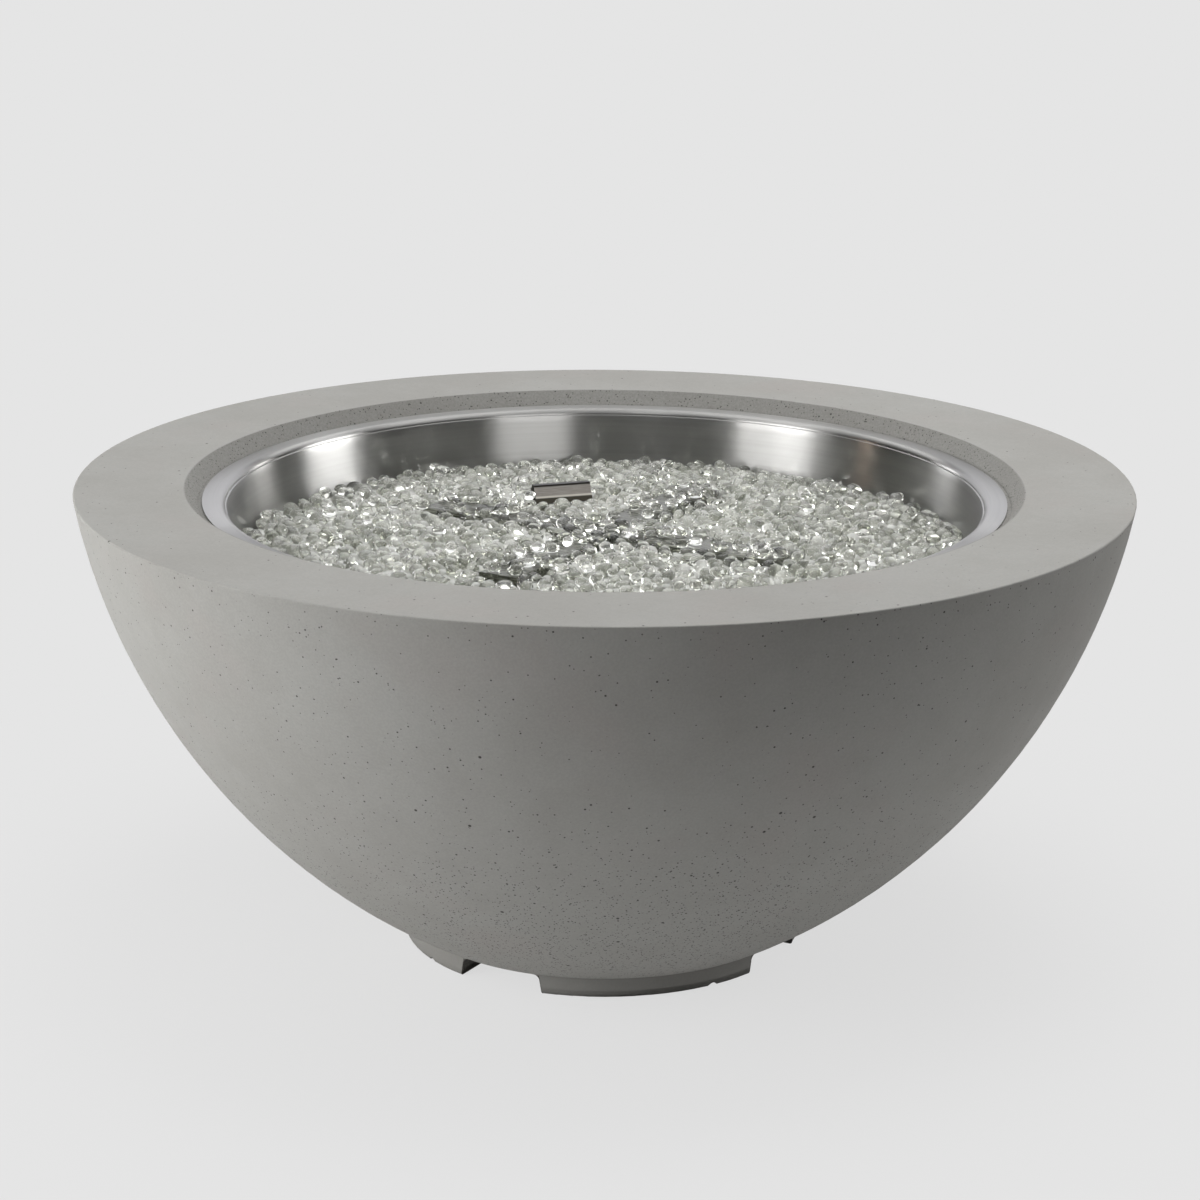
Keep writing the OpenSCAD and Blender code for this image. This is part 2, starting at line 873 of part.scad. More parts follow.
module burner_pan() {
    color([0.8, 0.8, 0.81])
        difference() {
            rotate_extrude($fn = big_fn)
                polygon(bent_sheet(pan_line, pan_t));
            bar(inlet_pipe_d + 2 * hole_gap, floor_under - 1, floor_top + 1);
            each_arm()
                translate([standoff_pos, 0, 0])
                    bar(screw_d + 2 * hole_gap, floor_under - 1, floor_top + 1);
            for (i = [0:weep_count - 1])
                rotate((i + 0.5) * 360 / weep_count)
                    translate([weep_pos, 0, 0])
                        bar(weep_d, floor_under - 1, floor_top + 1);
            at_hood() {
                translate([0, probe_gap / 2, 0])
                    bar(rod_d + 2 * hole_gap, floor_under - 1, floor_top + 1);
                translate([0, -probe_gap / 2, 0])
                    bar(sensor_d + 2 * hole_gap, floor_under - 1, floor_top + 1);
                for (y = [-1, 1])
                    translate([hood_half + hood_foot / 2, y * hood_screw_side, 0])
                        bar(panel_screw_d + 2 * fit_gap, floor_under - 1, floor_top + 1);
            }
        }
}

module burner_shell() {
    jets = floor((arm_len - jet_first - arm_edge_r) / jet_pitch);
    color([0.62, 0.62, 0.6])
        translate([0, 0, shell_z])
            difference() {
                cross_block(arm_len, arm_w, arm_h, arm_edge_r);
                translate([0, 0, -eps])
                    cross_block(
                        arm_len - burner_t, arm_w - 2 * burner_t,
                        arm_h - burner_t + eps, arm_edge_r - burner_t / 2
                    );
                each_arm()
                    for (i = [0:jets], y = [-1, 1])
                        translate([jet_first + i * jet_pitch, y * jet_side, arm_h - 2 * burner_t])
                            cylinder(d = jet_d, h = 4 * burner_t, $fn = 24);
            }
}

module burner_base() {
    color([0.6, 0.6, 0.58])
        difference() {
            translate([0, 0, base_z])
                linear_extrude(burner_t)
                    cross_plan(arm_len + base_lip, arm_w + 2 * base_lip);
            bar(inlet_pipe_d + 2 * fit_gap, base_z - 1, shell_z + 1);
            each_arm()
                translate([standoff_pos, 0, 0])
                    bar(screw_d + 2 * hole_gap, base_z - 1, shell_z + 1);
        }
}

module burner_standoffs() {
    color([0.66, 0.66, 0.67])
        each_arm()
            translate([standoff_pos, 0, 0])
                sleeve(standoff_d, screw_d + 2 * hole_gap, floor_top, base_z);
}

module burner_screws() {
    color([0.55, 0.55, 0.56])
        each_arm()
            translate([standoff_pos, 0, 0]) {
                bar(screw_d, floor_under - eps, shell_z + burner_nut_h + 1);
                bar(screw_head_d, floor_under - screw_head_h, floor_under);
            }
}

module burner_nuts() {
    color([0.55, 0.55, 0.56])
        each_arm()
            translate([standoff_pos, 0, 0])
                hex_nut(burner_nut_d, screw_d + 2 * fit_gap, shell_z, shell_z + burner_nut_h);
}

module burner_inlet() {
    color([0.5, 0.5, 0.5])
        sleeve(inlet_pipe_d, mix_bore_d, pipe_low_z, shell_z);
}

module inlet_locknuts() {
    color([0.6, 0.6, 0.61]) {
        hex_nut(locknut_d, inlet_pipe_d + 2 * fit_gap, floor_top, floor_top + locknut_h);
        hex_nut(locknut_d, inlet_pipe_d + 2 * fit_gap, floor_under - locknut_h, floor_under);
    }
}

module air_mixer() {
    color([0.74, 0.6, 0.32])
        difference() {
            union() {
                bar(mixer_d, mixer_low_z, mixer_top_z);
                bar(flare_d, mixer_low_z - flare_l, mixer_low_z + 1);
            }
            bar(inlet_pipe_d + 2 * fit_gap, pipe_low_z, mixer_top_z + 1);
            bar(mix_bore_d, mixer_low_z + seat_l, pipe_low_z + 1);
            bar(orifice_d + 2 * fit_gap, mixer_low_z + seat_l - orifice_l, mixer_low_z + seat_l + 1);
            bar(flare_bore_d, mixer_low_z - flare_l - 1, mixer_low_z + seat_l);
            for (a = [45:90:315])
                rotate(a)
                    translate([0, 0, mixer_low_z + seat_l + 2 * air_hole_d])
                        rotate([0, 90, 0])
                            cylinder(d = air_hole_d, h = mixer_d);
        }
}

module gas_orifice() {
    low = mixer_low_z + seat_l - orifice_l;
    color([0.82, 0.68, 0.36])
        sleeve(orifice_d, orifice_hole_d, low, low + orifice_l);
}

module hose_nut_burner() {
    color([0.74, 0.6, 0.32])
        translate([0, 0, mixer_low_z - flare_l])
            flare_nut();
}

// Middle line of the hood's sheet, from the edge over the probes to the foot on the pan's floor
hood_line = [
    [-hood_half, hood_top_z - hood_skirt],
    [-hood_flat, hood_top_z - hood_t / 2],
    [hood_flat, hood_top_z - hood_t / 2],
    [hood_half, hood_top_z - hood_skirt],
    [hood_half, floor_top + hood_t / 2],
    [hood_half + hood_foot, floor_top + hood_t / 2]
];

module igniter_hood() {
    color([0.6, 0.58, 0.55])
        at_hood()
            difference() {
                translate([0, hood_len / 2, 0])
                    rotate([90, 0, 0])
                        linear_extrude(hood_len)
                            polygon(bent_sheet(hood_line, hood_t));
                for (y = [-1, 1])
                    translate([hood_half + hood_foot / 2, y * hood_screw_side, 0])
                        bar(panel_screw_d + 2 * hole_gap, floor_top - 1, floor_top + 2 * hood_t);
            }
}

module igniter_bracket() {
    bracket_in = -8;
    bracket_out = hood_half - hood_t / 2;
    bracket_tab = 12;
    line = [
        [bracket_in, bracket_z],
        [bracket_out - hood_t / 2, bracket_z],
        [bracket_out - hood_t / 2, bracket_z + bracket_tab]
    ];
    color([0.64, 0.63, 0.61])
        at_hood()
            difference() {
                translate([0, hood_len / 2 - 4, 0])
                    rotate([90, 0, 0])
                        linear_extrude(hood_len - 8)
                            polygon(bent_sheet(line, hood_t));
                translate([0, probe_gap / 2, 0])
                    bar(rod_d + 2 * fit_gap, bracket_z - 5, bracket_z + 5);
                translate([0, -probe_gap / 2, 0])
                    bar(sensor_d + 2 * fit_gap, bracket_z - 5, bracket_z + 5);
            }
}

module bracket_screws() {
    color([0.55, 0.55, 0.56])
        at_hood()
            for (y = [-1, 1])
                translate([hood_half + hood_foot / 2, y * hood_screw_side, 0]) {
                    bar(panel_screw_d, floor_under - 6, floor_top + hood_t + eps);
                    bar(2 * panel_screw_d, floor_top + hood_t, floor_top + hood_t + panel_head_h);
                }
}

rod_top_z = hood_top_z - hood_skirt + 2;

module spark_electrode() {
    color([0.5, 0.48, 0.45])
        at_hood()
            translate([0, probe_gap / 2, 0])
                bar(spark_d, probe_low_z + 6, rod_top_z + 8);
}

module electrode_insulator() {
    color([0.92, 0.9, 0.85])
        at_hood()
            translate([0, probe_gap / 2, 0])
                difference() {
                    bar(rod_d, probe_low_z, rod_top_z);
                    bar(spark_d + 2 * fit_gap, probe_low_z + 6 - fit_gap, rod_top_z + 1);
                }
}

module thermocouple() {
    color([0.6, 0.56, 0.5])
        at_hood()
            translate([0, -probe_gap / 2, 0])
                bar(sensor_d, probe_low_z, rod_top_z + 4);
}

// Height of the glass bed's top at a distance from the middle
function bed_height(r) = bed_z + bed_rise * (1 - pow(r / bed_r, 3));

// Uneven shift of a gem, the same each time for its row and column
function gem_shift(i, j, turn) = gem_play * sin(137.5 * i * i + 222.5 * j * j + 311 * i * j + turn);

// Point of the bed's top: gems and hollows take turns like the squares of a chessboard
function gem_point(i, j) =
    let (
        at_edge = max(abs(i), abs(j)) == gem_rows,
        shift = at_edge ? [0, 0] : [gem_shift(i, j, 0), gem_shift(i, j, 90)],
        at = gem_step * [i, j] + shift,
        rise = (i + j) % 2 == 0 ? gem_proud : gem_proud - gem_relief
    )
    [at[0], at[1], bed_height(norm(at)) + rise];

function gem_index(i, j) = (i + gem_rows) * (2 * gem_rows + 1) + j + gem_rows;

// Square block whose top is covered with gems, four sloping faces to each
module gem_field() {
    reach = gem_rows * gem_step;
    corners = [[-1, -1], [1, -1], [1, 1], [-1, 1]];
    top = [for (i = [-gem_rows:gem_rows]) for (j = [-gem_rows:gem_rows]) gem_point(i, j)];
    low = [for (c = corners) [c[0] * reach, c[1] * reach, floor_top - over]];
    n = len(top);
    slopes = [
        for (i = [-gem_rows:gem_rows - 1])
            for (j = [-gem_rows:gem_rows - 1])
                let (
                    a = gem_index(i, j),
                    b = gem_index(i + 1, j),
                    c = gem_index(i + 1, j + 1),
                    d = gem_index(i, j + 1)
                )
                each (i + j) % 2 == 0 ? [[a, d, b], [c, b, d]] : [[a, c, b], [a, d, c]]
    ];
    sides = [
        concat([for (k = [-gem_rows:gem_rows]) gem_index(k, -gem_rows)], [n + 1, n]),
        concat([for (k = [-gem_rows:gem_rows]) gem_index(gem_rows, k)], [n + 2, n + 1]),
        concat([for (k = [-gem_rows:gem_rows]) gem_index(-k, gem_rows)], [n + 3, n + 2]),
        concat([for (k = [-gem_rows:gem_rows]) gem_index(-gem_rows, -k)], [n, n + 3])
    ];
    polyhedron(concat(top, low), concat(slopes, sides, [[n, n + 1, n + 2, n + 3]]));
}

module glass_beads() {
    clear = 0.5;
    heap_top = bed_height(0) + 2 * gem_proud;
    foot_room = 3 * hood_t + panel_head_h;
    color([0.82, 0.86, 0.84, 0.6])
        difference() {
            intersection() {
                rotate_extrude($fn = big_fn)
                    polygon([
                        [0, floor_top], [bed_floor_r, floor_top], [bed_r, floor_top + floor_bend_r],
                        [bed_r, heap_top], [0, heap_top]
                    ]);
                gem_field();
            }
            translate([0, 0, floor_top - 1])
                linear_extrude(shell_z - floor_top + 1 + clear)
                    cross_plan(arm_len + base_lip + clear, arm_w + 2 * (base_lip + clear));
            translate([0, 0, floor_top])
                linear_extrude(over)
                    cross_plan(arm_len + clear, arm_w + 2 * clear);
            at_hood()
                translate([-hood_half - 2, -hood_len / 2 - clear, floor_top - 1]) {
                    cube([2 * hood_half + 4, hood_len + 2 * clear, over]);
                    cube([2 * hood_half + hood_foot + 4, hood_len + 2 * clear, foot_room + 1]);
                }
        }
}

bowl_shell();
panel_inserts();
control_panel();
panel_screws();
knob_bezel();
valve_body();
valve_nut();
stem_spring();
valve_plunger();
valve_stem();
control_knob();
knob_screw();
igniter_body();
igniter_battery();
battery_spring();
igniter_bezel();
button_spring();
igniter_button();
hose_nut_valve();
gas_hose();
ignition_lead();
thermocouple_lead();
burner_pan();
burner_shell();
burner_base();
burner_standoffs();
burner_screws();
burner_nuts();
burner_inlet();
inlet_locknuts();
air_mixer();
gas_orifice();
hose_nut_burner();
igniter_hood();
igniter_bracket();
bracket_screws();
spark_electrode();
electrode_insulator();
thermocouple();
glass_beads();
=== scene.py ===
import math

import bpy
import numpy as np
from mathutils import Matrix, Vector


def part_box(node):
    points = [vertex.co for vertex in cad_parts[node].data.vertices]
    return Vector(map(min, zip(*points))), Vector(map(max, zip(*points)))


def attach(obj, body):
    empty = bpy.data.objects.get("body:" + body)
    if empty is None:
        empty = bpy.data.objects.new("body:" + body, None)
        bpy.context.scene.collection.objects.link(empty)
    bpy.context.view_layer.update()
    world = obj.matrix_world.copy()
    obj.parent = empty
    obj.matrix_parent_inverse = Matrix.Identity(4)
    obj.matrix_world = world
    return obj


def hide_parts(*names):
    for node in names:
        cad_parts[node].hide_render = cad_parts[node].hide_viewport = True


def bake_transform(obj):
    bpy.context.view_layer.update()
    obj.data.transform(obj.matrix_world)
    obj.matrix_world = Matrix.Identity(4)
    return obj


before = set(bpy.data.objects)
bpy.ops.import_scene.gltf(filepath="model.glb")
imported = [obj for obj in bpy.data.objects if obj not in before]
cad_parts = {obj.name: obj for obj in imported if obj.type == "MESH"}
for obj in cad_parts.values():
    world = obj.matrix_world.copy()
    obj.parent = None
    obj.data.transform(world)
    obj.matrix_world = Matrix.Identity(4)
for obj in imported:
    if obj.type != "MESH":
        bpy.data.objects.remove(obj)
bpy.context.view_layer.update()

# Sizes in metres, as the solids have them, with the hood's direction and the turns that shift the gems.
RIM_Z = 0.480
FOOT_Z = 0.020
FOOT_END = 0.0476
FOOT_END_SLOPE = 0.1786
PAN_R = 0.382
PAN_T = 0.002
PAN_DRAFT = 0.006
FLANGE_R = 0.406
FLANGE_Z = 0.466
FLOOR_Z = 0.384
FLOOR_BEND = 0.014
INLET_HOLE_R = 0.01085
BED_R = 0.3747
BED_Z = 0.410
BED_RISE = 0.021
GEM_SIZE = 0.018
GEM_PROUD = 0.002
SITE_TURNS = (137.5, 222.5, 311.0)
ARM_LEN = 0.205
ARM_W = 0.046
ARM_TOP = 0.4275
HOOD_R = 0.150
HOOD_AZ = math.radians(138)
HOOD_LEN = 0.062
HOOD_HALF = 0.014
HOOD_TOP = 0.440
HOOD_HEM = 0.4295
PROBE_GAP = 0.028
PROBE_LOW_Z = 0.366
PANEL_Y = 0.3864227
PANEL_Z = 0.236
VALVE_X = -0.034
VALVE_HALF = 0.018
VALVE_PORT = -0.042
FLARE_LEN = 0.024
NUT_PROUD = 0.006
LEAD_PORT_LEN = 0.008
IGNITER_X = 0.038
IGNITER_LEN = 0.062
HOSE_END_Z = 0.2455
HOSE_START_RUN = 0.020
HOSE_END_RUN = 0.018
LEAD_END_RUN = 0.024

# Sizes in metres that only the pieces made here have. The lip ends at an angle in degrees.
LIP_BEND = 0.008
LIP_END = 148
LIP_STEP = 0.0022
LIP_DROP = 0.0075
LEDGE_EDGE = 0.0002
LEDGE_HIGH = 0.0055
LEDGE_IN = 0.0006
LEDGE_LOW = 0.0061
BED_BANK = 0.0065
DEEP_DROP = 0.0145
DEEP_WAVE = 0.0012
GEM_EDGE = 0.0085
GEM_UNEVEN = 0.0012
GEM_HALF_WIDTH = (0.0070, 0.0098)
HOLLOW_DROP = 0.0055
ARM_GEM_RISE = 0.0095
LOOSE_GEM_RISE = (0.003, 0.008)
HOOD_ROOM = 0.006
HOOD_FRONT_ROOM = 0.012
ARM_ROOM = 0.001
ARM_HOLLOW_ROOM = 0.007
HOSE_R = 0.00735
BRAID_SWELL = 0.00012
HOSE_STEP = 0.0022
LEAD_STEP = 0.004
TUBE_TIP = 1e-5
MARK_EDGE = 0.0001

# Shares of a gem's width that its breadth and its height take, and of the places that carry a gem.
GEM_BREADTH = (0.76, 1.0)
GEM_HEIGHT = (0.55, 0.88)
ARM_GEM_SHARE = 0.8
LOOSE_GEM_SHARE = 0.07

# The braid's strands, as radians in a metre of hose and as strands round it.
BRAID_PITCH = 900.0
BRAID_STRANDS = 12.0

# Steps round the pan, the deep glass and the hose, rings of the deep glass, and a gem's steps and rows.
PAN_STEPS = 288
DEEP_STEPS = 240
DEEP_RINGS = 90
HOSE_SIDES = 24
GEM_STEPS = (10, 6)

# The photograph's view turns the bowl 30 degrees: its arms and foot gaps don't face the camera.
VIEW_TURN = math.radians(30)


# Grids and surfaces

def grid_faces(rows, columns, wrap_rows=False, wrap_columns=False):
    """Four-sided faces of a grid of points stored row by row; wrap joins the last row or column to
    the first."""
    i, j = np.meshgrid(
        np.arange(rows if wrap_rows else rows - 1),
        np.arange(columns if wrap_columns else columns - 1),
        indexing="ij",
    )
    k, m = (i + 1) % rows, (j + 1) % columns
    corners = [i * columns + j, k * columns + j, k * columns + m, i * columns + m]
    return np.stack(corners, -1).reshape(-1, 4)


def facing_out(points, faces):
    """The same faces, turned over where the solid they close would have a negative volume."""
    a, b, c, d = (points[faces[:, k]] for k in (0, 1, 2, -1))
    volume = np.einsum("ij,ij->i", a, np.cross(b, c) + np.cross(c, d)).sum()
    return faces if volume > 0 else faces[:, ::-1]


def add_piece(name, points, faces, material, body, stands_for=()):
    """A smooth mesh piece from whole arrays of points and equal-sided faces, riding on a body."""
    mesh = bpy.data.meshes.new(name)
    sides = faces.shape[1]
    mesh.vertices.add(len(points))
    mesh.vertices.foreach_set("co", np.asarray(points, np.float32).ravel())
    mesh.loops.add(faces.size)
    mesh.loops.foreach_set("vertex_index", np.asarray(faces, np.int32).ravel())
    mesh.polygons.add(len(faces))
    mesh.polygons.foreach_set("loop_start", np.arange(len(faces), dtype=np.int32) * sides)
    mesh.update(calc_edges=True)
    mesh.shade_smooth()
    mesh.materials.append(material)
    piece = bpy.data.objects.new(name, mesh)
    bpy.context.scene.collection.objects.link(piece)
    if body:
        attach(piece, body)
    if stands_for:
        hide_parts(*stands_for)
    return piece


def add_values(piece, name, values):
    """One number per point, kept on the piece under that name for its material."""
    layer = piece.data.attributes.new(name, "FLOAT", "POINT")
    layer.data.foreach_set("value", np.asarray(values, np.float32))


def arc(centre, radius, start, stop, steps):
    """Points on an arc: the centre plus the radius turned from the start angle to the stop angle."""
    a = np.radians(np.linspace(start, stop, steps + 1))
    return np.asarray(centre) + radius * np.stack([np.cos(a), np.sin(a)], -1)


def revolved(line, steps):
    """Surface of revolution: a point (r, z) of the line at angle a lies at (r cos a, r sin a, z)."""
    a = np.linspace(0, 2 * np.pi, steps, endpoint=False)[:, None]
    r, z = line[:, 0], line[:, 1]
    height = np.broadcast_to(z, (steps, len(z)))
    return np.stack([np.cos(a) * r, np.sin(a) * r, height], -1).reshape(-1, 3)


def sheet_outline(line, thickness):
    """Both sides of a bent sheet: each point of its middle line moved half the thickness along the
    mitre there."""
    step = np.diff(line, axis=0)
    side = np.stack([-step[:, 1], step[:, 0]], -1) / np.linalg.norm(step, axis=1)[:, None]
    before = np.vstack([side[:1], side])
    after = np.vstack([side, side[-1:]])
    mitre = (before + after) / (1 + (before * after).sum(1))[:, None]
    return np.vstack([line + mitre * thickness / 2, (line - mitre * thickness / 2)[::-1]])


def spline(start, points, end, steps):
    """Smooth curve through points, by cubic pieces whose slope is half the step between neighbours,
    with a straight start and a straight end."""
    p = np.asarray(points, float)
    a, b, c, d = p[np.r_[0, 0:len(p) - 2]], p[:-1], p[1:], p[np.r_[2:len(p), len(p) - 1]]
    t = (np.arange(steps) / steps)[None, :, None]
    a, b, c, d = (q[:, None, :] for q in (a, b, c, d))
    slope = t / 2 * (c - a)
    curve = b + slope + t**2 * (a - 2.5 * b + 2 * c - d / 2) + t**3 / 2 * (3 * b - a - 3 * c + d)
    return np.vstack([[start], curve.reshape(-1, 3), p[-1:], [end]])


def evenly(path, spacing):
    """The same path with points at an even spacing along its length."""
    run = np.r_[0, np.cumsum(np.linalg.norm(np.diff(path, axis=0), axis=1))]
    at = np.linspace(0, run[-1], max(2, int(run[-1] / spacing) + 1))
    return np.stack([np.interp(at, run, path[:, k]) for k in range(3)], -1), at


def tube(path, radius, sides):
    """Tube along a path: at each path point a ring of that radius, set square to the path by sideways
    directions that are carried from ring to ring without twist. Both ends are closed."""
    along = np.gradient(path, axis=0)
    along /= np.linalg.norm(along, axis=1)[:, None]
    across = np.zeros_like(along)
    guess = np.array([0.0, 0.0, 1.0]) if abs(along[0, 2]) < 0.9 else np.array([1.0, 0.0, 0.0])
    for k, t in enumerate(along):
        guess = guess - guess.dot(t) * t
        guess /= np.linalg.norm(guess)
        across[k] = guess
    up = np.cross(along, across)
    a = np.linspace(0, 2 * np.pi, sides, endpoint=False)[None, :, None]
    ring = across[:, None] * np.cos(a) + up[:, None] * np.sin(a)
    rim = np.broadcast_to(np.asarray(radius, float).reshape(-1, 1, 1), (len(path), 1, 1))
    body = path[:, None] + ring * rim
    first = path[:1, None] + ring[:1] * TUBE_TIP
    last = path[-1:, None] + ring[-1:] * TUBE_TIP
    points = np.concatenate([first, body, last]).reshape(-1, 3)
    k = np.arange(sides // 2 - 1)
    cap = np.stack([k, k + 1, sides - 2 - k, sides - 1 - k], -1)
    faces = grid_faces(len(path) + 2, sides, wrap_columns=True)
    faces = np.vstack([faces, cap, cap[:, ::-1] + sides * (len(path) + 1)])
    return points, facing_out(points, faces)


def coil(radius, low, high, turns, per_turn):
    """Helix about Z: the angle runs through the turns while the height climbs from low to high."""
    t = np.linspace(0, 1, turns * per_turn + 1)
    a = 2 * np.pi * turns * t
    return np.stack([radius * np.cos(a), radius * np.sin(a), low + (high - low) * t], -1)


def on_panel(points, x):
    """Turns a piece measured out from the control panel so that its Z points along +Y, and puts it
    at x."""
    return np.stack([points[:, 0] + x, points[:, 2] + PANEL_Y, PANEL_Z - points[:, 1]], -1)


def as_object(x, y):
    """A direction or place in the photograph's frame, turned into the object's frame."""
    c, s = math.cos(VIEW_TURN), math.sin(VIEW_TURN)
    return np.array([x * c - y * s, x * s + y * c])


# Shader helpers

def node(tree, kind, sockets=None, **settings):
    """A shader node with settings, and sockets that are linked or given a plain value."""
    made = tree.nodes.new(kind)
    for key, value in settings.items():
        setattr(made, key, value)
    for key, value in (sockets or {}).items():
        if isinstance(value, bpy.types.NodeSocket):
            tree.links.new(value, made.inputs[key])
        else:
            made.inputs[key].default_value = value
    return made


def calc(tree, operation, *values):
    """Result of one sum on numbers or sockets."""
    return node(tree, "ShaderNodeMath", dict(enumerate(values)), operation=operation).outputs[0]


def times(tree, a, b):
    """Product of two numbers or sockets."""
    return calc(tree, "MULTIPLY", a, b)


def ramp(tree, value, low, high, to_low=0.0, to_high=1.0):
    """A value mapped smoothly from low..high to to_low..to_high."""
    sockets = {"Value": value, "From Min": low, "From Max": high, "To Min": to_low, "To Max": to_high}
    return node(tree, "ShaderNodeMapRange", sockets, interpolation_type="SMOOTHSTEP").outputs[0]


def noise(tree, place, scale, detail):
    """Random hills and hollows over a place, as a value about one half."""
    sockets = {"Vector": place, "Scale": scale, "Detail": detail}
    return node(tree, "ShaderNodeTexNoise", sockets).outputs[0]


def split(tree, place):
    """The three coordinates of a place."""
    return list(node(tree, "ShaderNodeSeparateXYZ", {"Vector": place}).outputs)


def from_axis(tree, x, y):
    """The level place (x, y, 0) and its distance from the Z axis."""
    flat = node(tree, "ShaderNodeCombineXYZ", {"X": x, "Y": y}).outputs[0]
    return flat, node(tree, "ShaderNodeVectorMath", {0: flat}, operation="LENGTH").outputs["Value"]


def blend_colour(tree, factor, a, b, mode="MIX"):
    """Colours a and b mixed by a factor."""
    sockets = {0: factor, 6: a, 7: b}
    return node(tree, "ShaderNodeMix", sockets, data_type="RGBA", blend_type=mode).outputs[2]


def new_group(name, inputs, outputs):
    """An empty shader node group with named number or vector sockets."""
    tree = bpy.data.node_groups.new(name, "ShaderNodeTree")
    kinds = {"f": "NodeSocketFloat", "v": "NodeSocketVector"}
    for key, kind in inputs:
        tree.interface.new_socket(key, in_out="INPUT", socket_type=kinds[kind])
    for key, kind in outputs:
        tree.interface.new_socket(key, in_out="OUTPUT", socket_type=kinds[kind])
    return tree, tree.nodes.new("NodeGroupInput").outputs, tree.nodes.new("NodeGroupOutput").inputs


def use(tree, group, **sockets):
    """A group placed in a material with its own values; gives the group's first output."""
    named = {key.replace("_", " "): value for key, value in sockets.items()}
    return node(tree, "ShaderNodeGroup", named, node_tree=group).outputs[0]


def cloud_group():
    """Uneven patches: a broad noise, with a five and a twenty-three times finer one laid over it."""
    tree, given, made = new_group("cloud", [("Vector", "v"), ("Scale", "f")], [("Value", "f")])
    total = None
    for finer, share in ((1.0, 0.55), (5.0, 0.30), (23.0, 0.15)):
        fine = noise(tree, given["Vector"], times(tree, given["Scale"], finer), 3.0)
        part = times(tree, fine, share)
        total = part if total is None else calc(tree, "ADD", total, part)
    tree.links.new(total, made["Value"])
    return tree


def pit_group():
    """Small round pits: in a share of random cells, the part of the cell near its point, each of its
    own size."""
    inputs = [("Vector", "v"), ("Cells", "f"), ("Share", "f"), ("Size", "f")]
    tree, given, made = new_group("pits", inputs, [("Mask", "f")])
    cells = node(tree, "ShaderNodeTexVoronoi", {"Vector": given["Vector"], "Scale": given["Cells"]})
    chance = node(tree, "ShaderNodeSeparateColor", {"Color": cells.outputs["Color"]})
    kept = calc(tree, "LESS_THAN", chance.outputs[0], given["Share"])
    size = times(tree, given["Size"], calc(tree, "ADD", chance.outputs[1], 0.35))
    depth = calc(tree, "SUBTRACT", 1.0, calc(tree, "DIVIDE", cells.outputs["Distance"], size))
    tree.links.new(times(tree, ramp(tree, depth, 0.0, 0.4), kept), made["Mask"])
    return tree


def spun_group():
    """Fine lines round the Z axis: noise that hardly changes with the direction from the axis and
    changes fast with the distance from the axis plus the height."""
    tree, given, made = new_group("spun_lines", [("Vector", "v"), ("Fineness", "f")], [("Value", "f")])
    x, y, z = split(tree, given["Vector"])
    flat, reach = from_axis(tree, x, y)
    way = node(tree, "ShaderNodeVectorMath", {0: flat}, operation="NORMALIZE").outputs[0]
    way = split(tree, way)
    line = times(tree, calc(tree, "ADD", reach, z), given["Fineness"])
    at = node(tree, "ShaderNodeCombineXYZ", {
        "X": times(tree, way[0], 0.8), "Y": times(tree, way[1], 0.8), "Z": line})
    tree.links.new(noise(tree, at.outputs[0], 1.0, 1.0), made["Value"])
    return tree


def brush_group():
    """Straight fine lines: noise on a place that is stretched by its own amount along each axis."""
    tree, given, made = new_group("brush_lines", [("Vector", "v"), ("Stretch", "v")], [("Value", "f")])
    sockets = {0: given["Vector"], 1: given["Stretch"]}
    at = node(tree, "ShaderNodeVectorMath", sockets, operation="MULTIPLY")
    tree.links.new(noise(tree, at.outputs[0], 1.0, 4.0), made["Value"])
    return tree


CLOUD = cloud_group()
PITS = pit_group()
SPUN = spun_group()
BRUSH = brush_group()


def start_material(name, **fixed):
    """A material with a Principled shader whose plain values are set on its own sockets."""
    material = bpy.data.materials.new(name)
    material.use_nodes = True
    tree = material.node_tree
    shader = tree.nodes["Principled BSDF"]
    for key, value in fixed.items():
        shader.inputs[key.replace("_", " ")].default_value = value
    place = node(tree, "ShaderNodeTexCoord").outputs["Object"]
    return material, tree, shader, place


def set_look(tree, shader, colour, roughness):
    """The shader's colour and roughness over the surface."""
    tree.links.new(colour, shader.inputs["Base Color"])
    tree.links.new(roughness, shader.inputs["Roughness"])


def set_bump(tree, shader, height, strength, distance):
    """Height over the surface, turned into the shader's normal."""
    bump = node(tree, "ShaderNodeBump", {"Height": height, "Strength": strength, "Distance": distance})
    tree.links.new(bump.outputs[0], shader.inputs["Normal"])


def grey(value, warm=0.0):
    """A grey, slightly warmer or cooler, as a colour."""
    return (value * (1 + warm), value, value * (1 - warm), 1.0)


# Materials

# Spans in metres over which a finish, painted shade and painted highlights change: the bowl's distance
# from the axis, its heights, the width of its foot gaps, and the hood's heights.
RECESS_REACH = (0.4225, 0.4245)
RECESS_LOW = (0.440, 0.445)
RIM_SKIN = (0.4788, 0.4797)
UNDER_RIM_LOW = (0.440, 0.472)
UNDER_RIM_TOP = (0.4782, 0.4794)
PITTED_WALL = (0.06, 0.34)
SANDY_WALL = (0.05, 0.30)
FOOT_TOP = (FOOT_Z - 0.0005, FOOT_Z + 0.0025)
FOOT_END_SHADE_TOP = (FOOT_Z - 0.0012, FOOT_Z - 0.0004)
FOOT_END_SHADE_GAP = (FOOT_END, FOOT_END + 0.0008)
HEM_HIGHLIGHT_SPAN = (HOOD_HEM - 0.0006, HOOD_HEM + 0.0006)
HEM_SHADE = (HOOD_HEM - 0.0024, HOOD_HEM - 0.0012)
ROOF_REFLECTION_SPAN = (HOOD_TOP - 0.0022, HOOD_TOP - 0.0014)


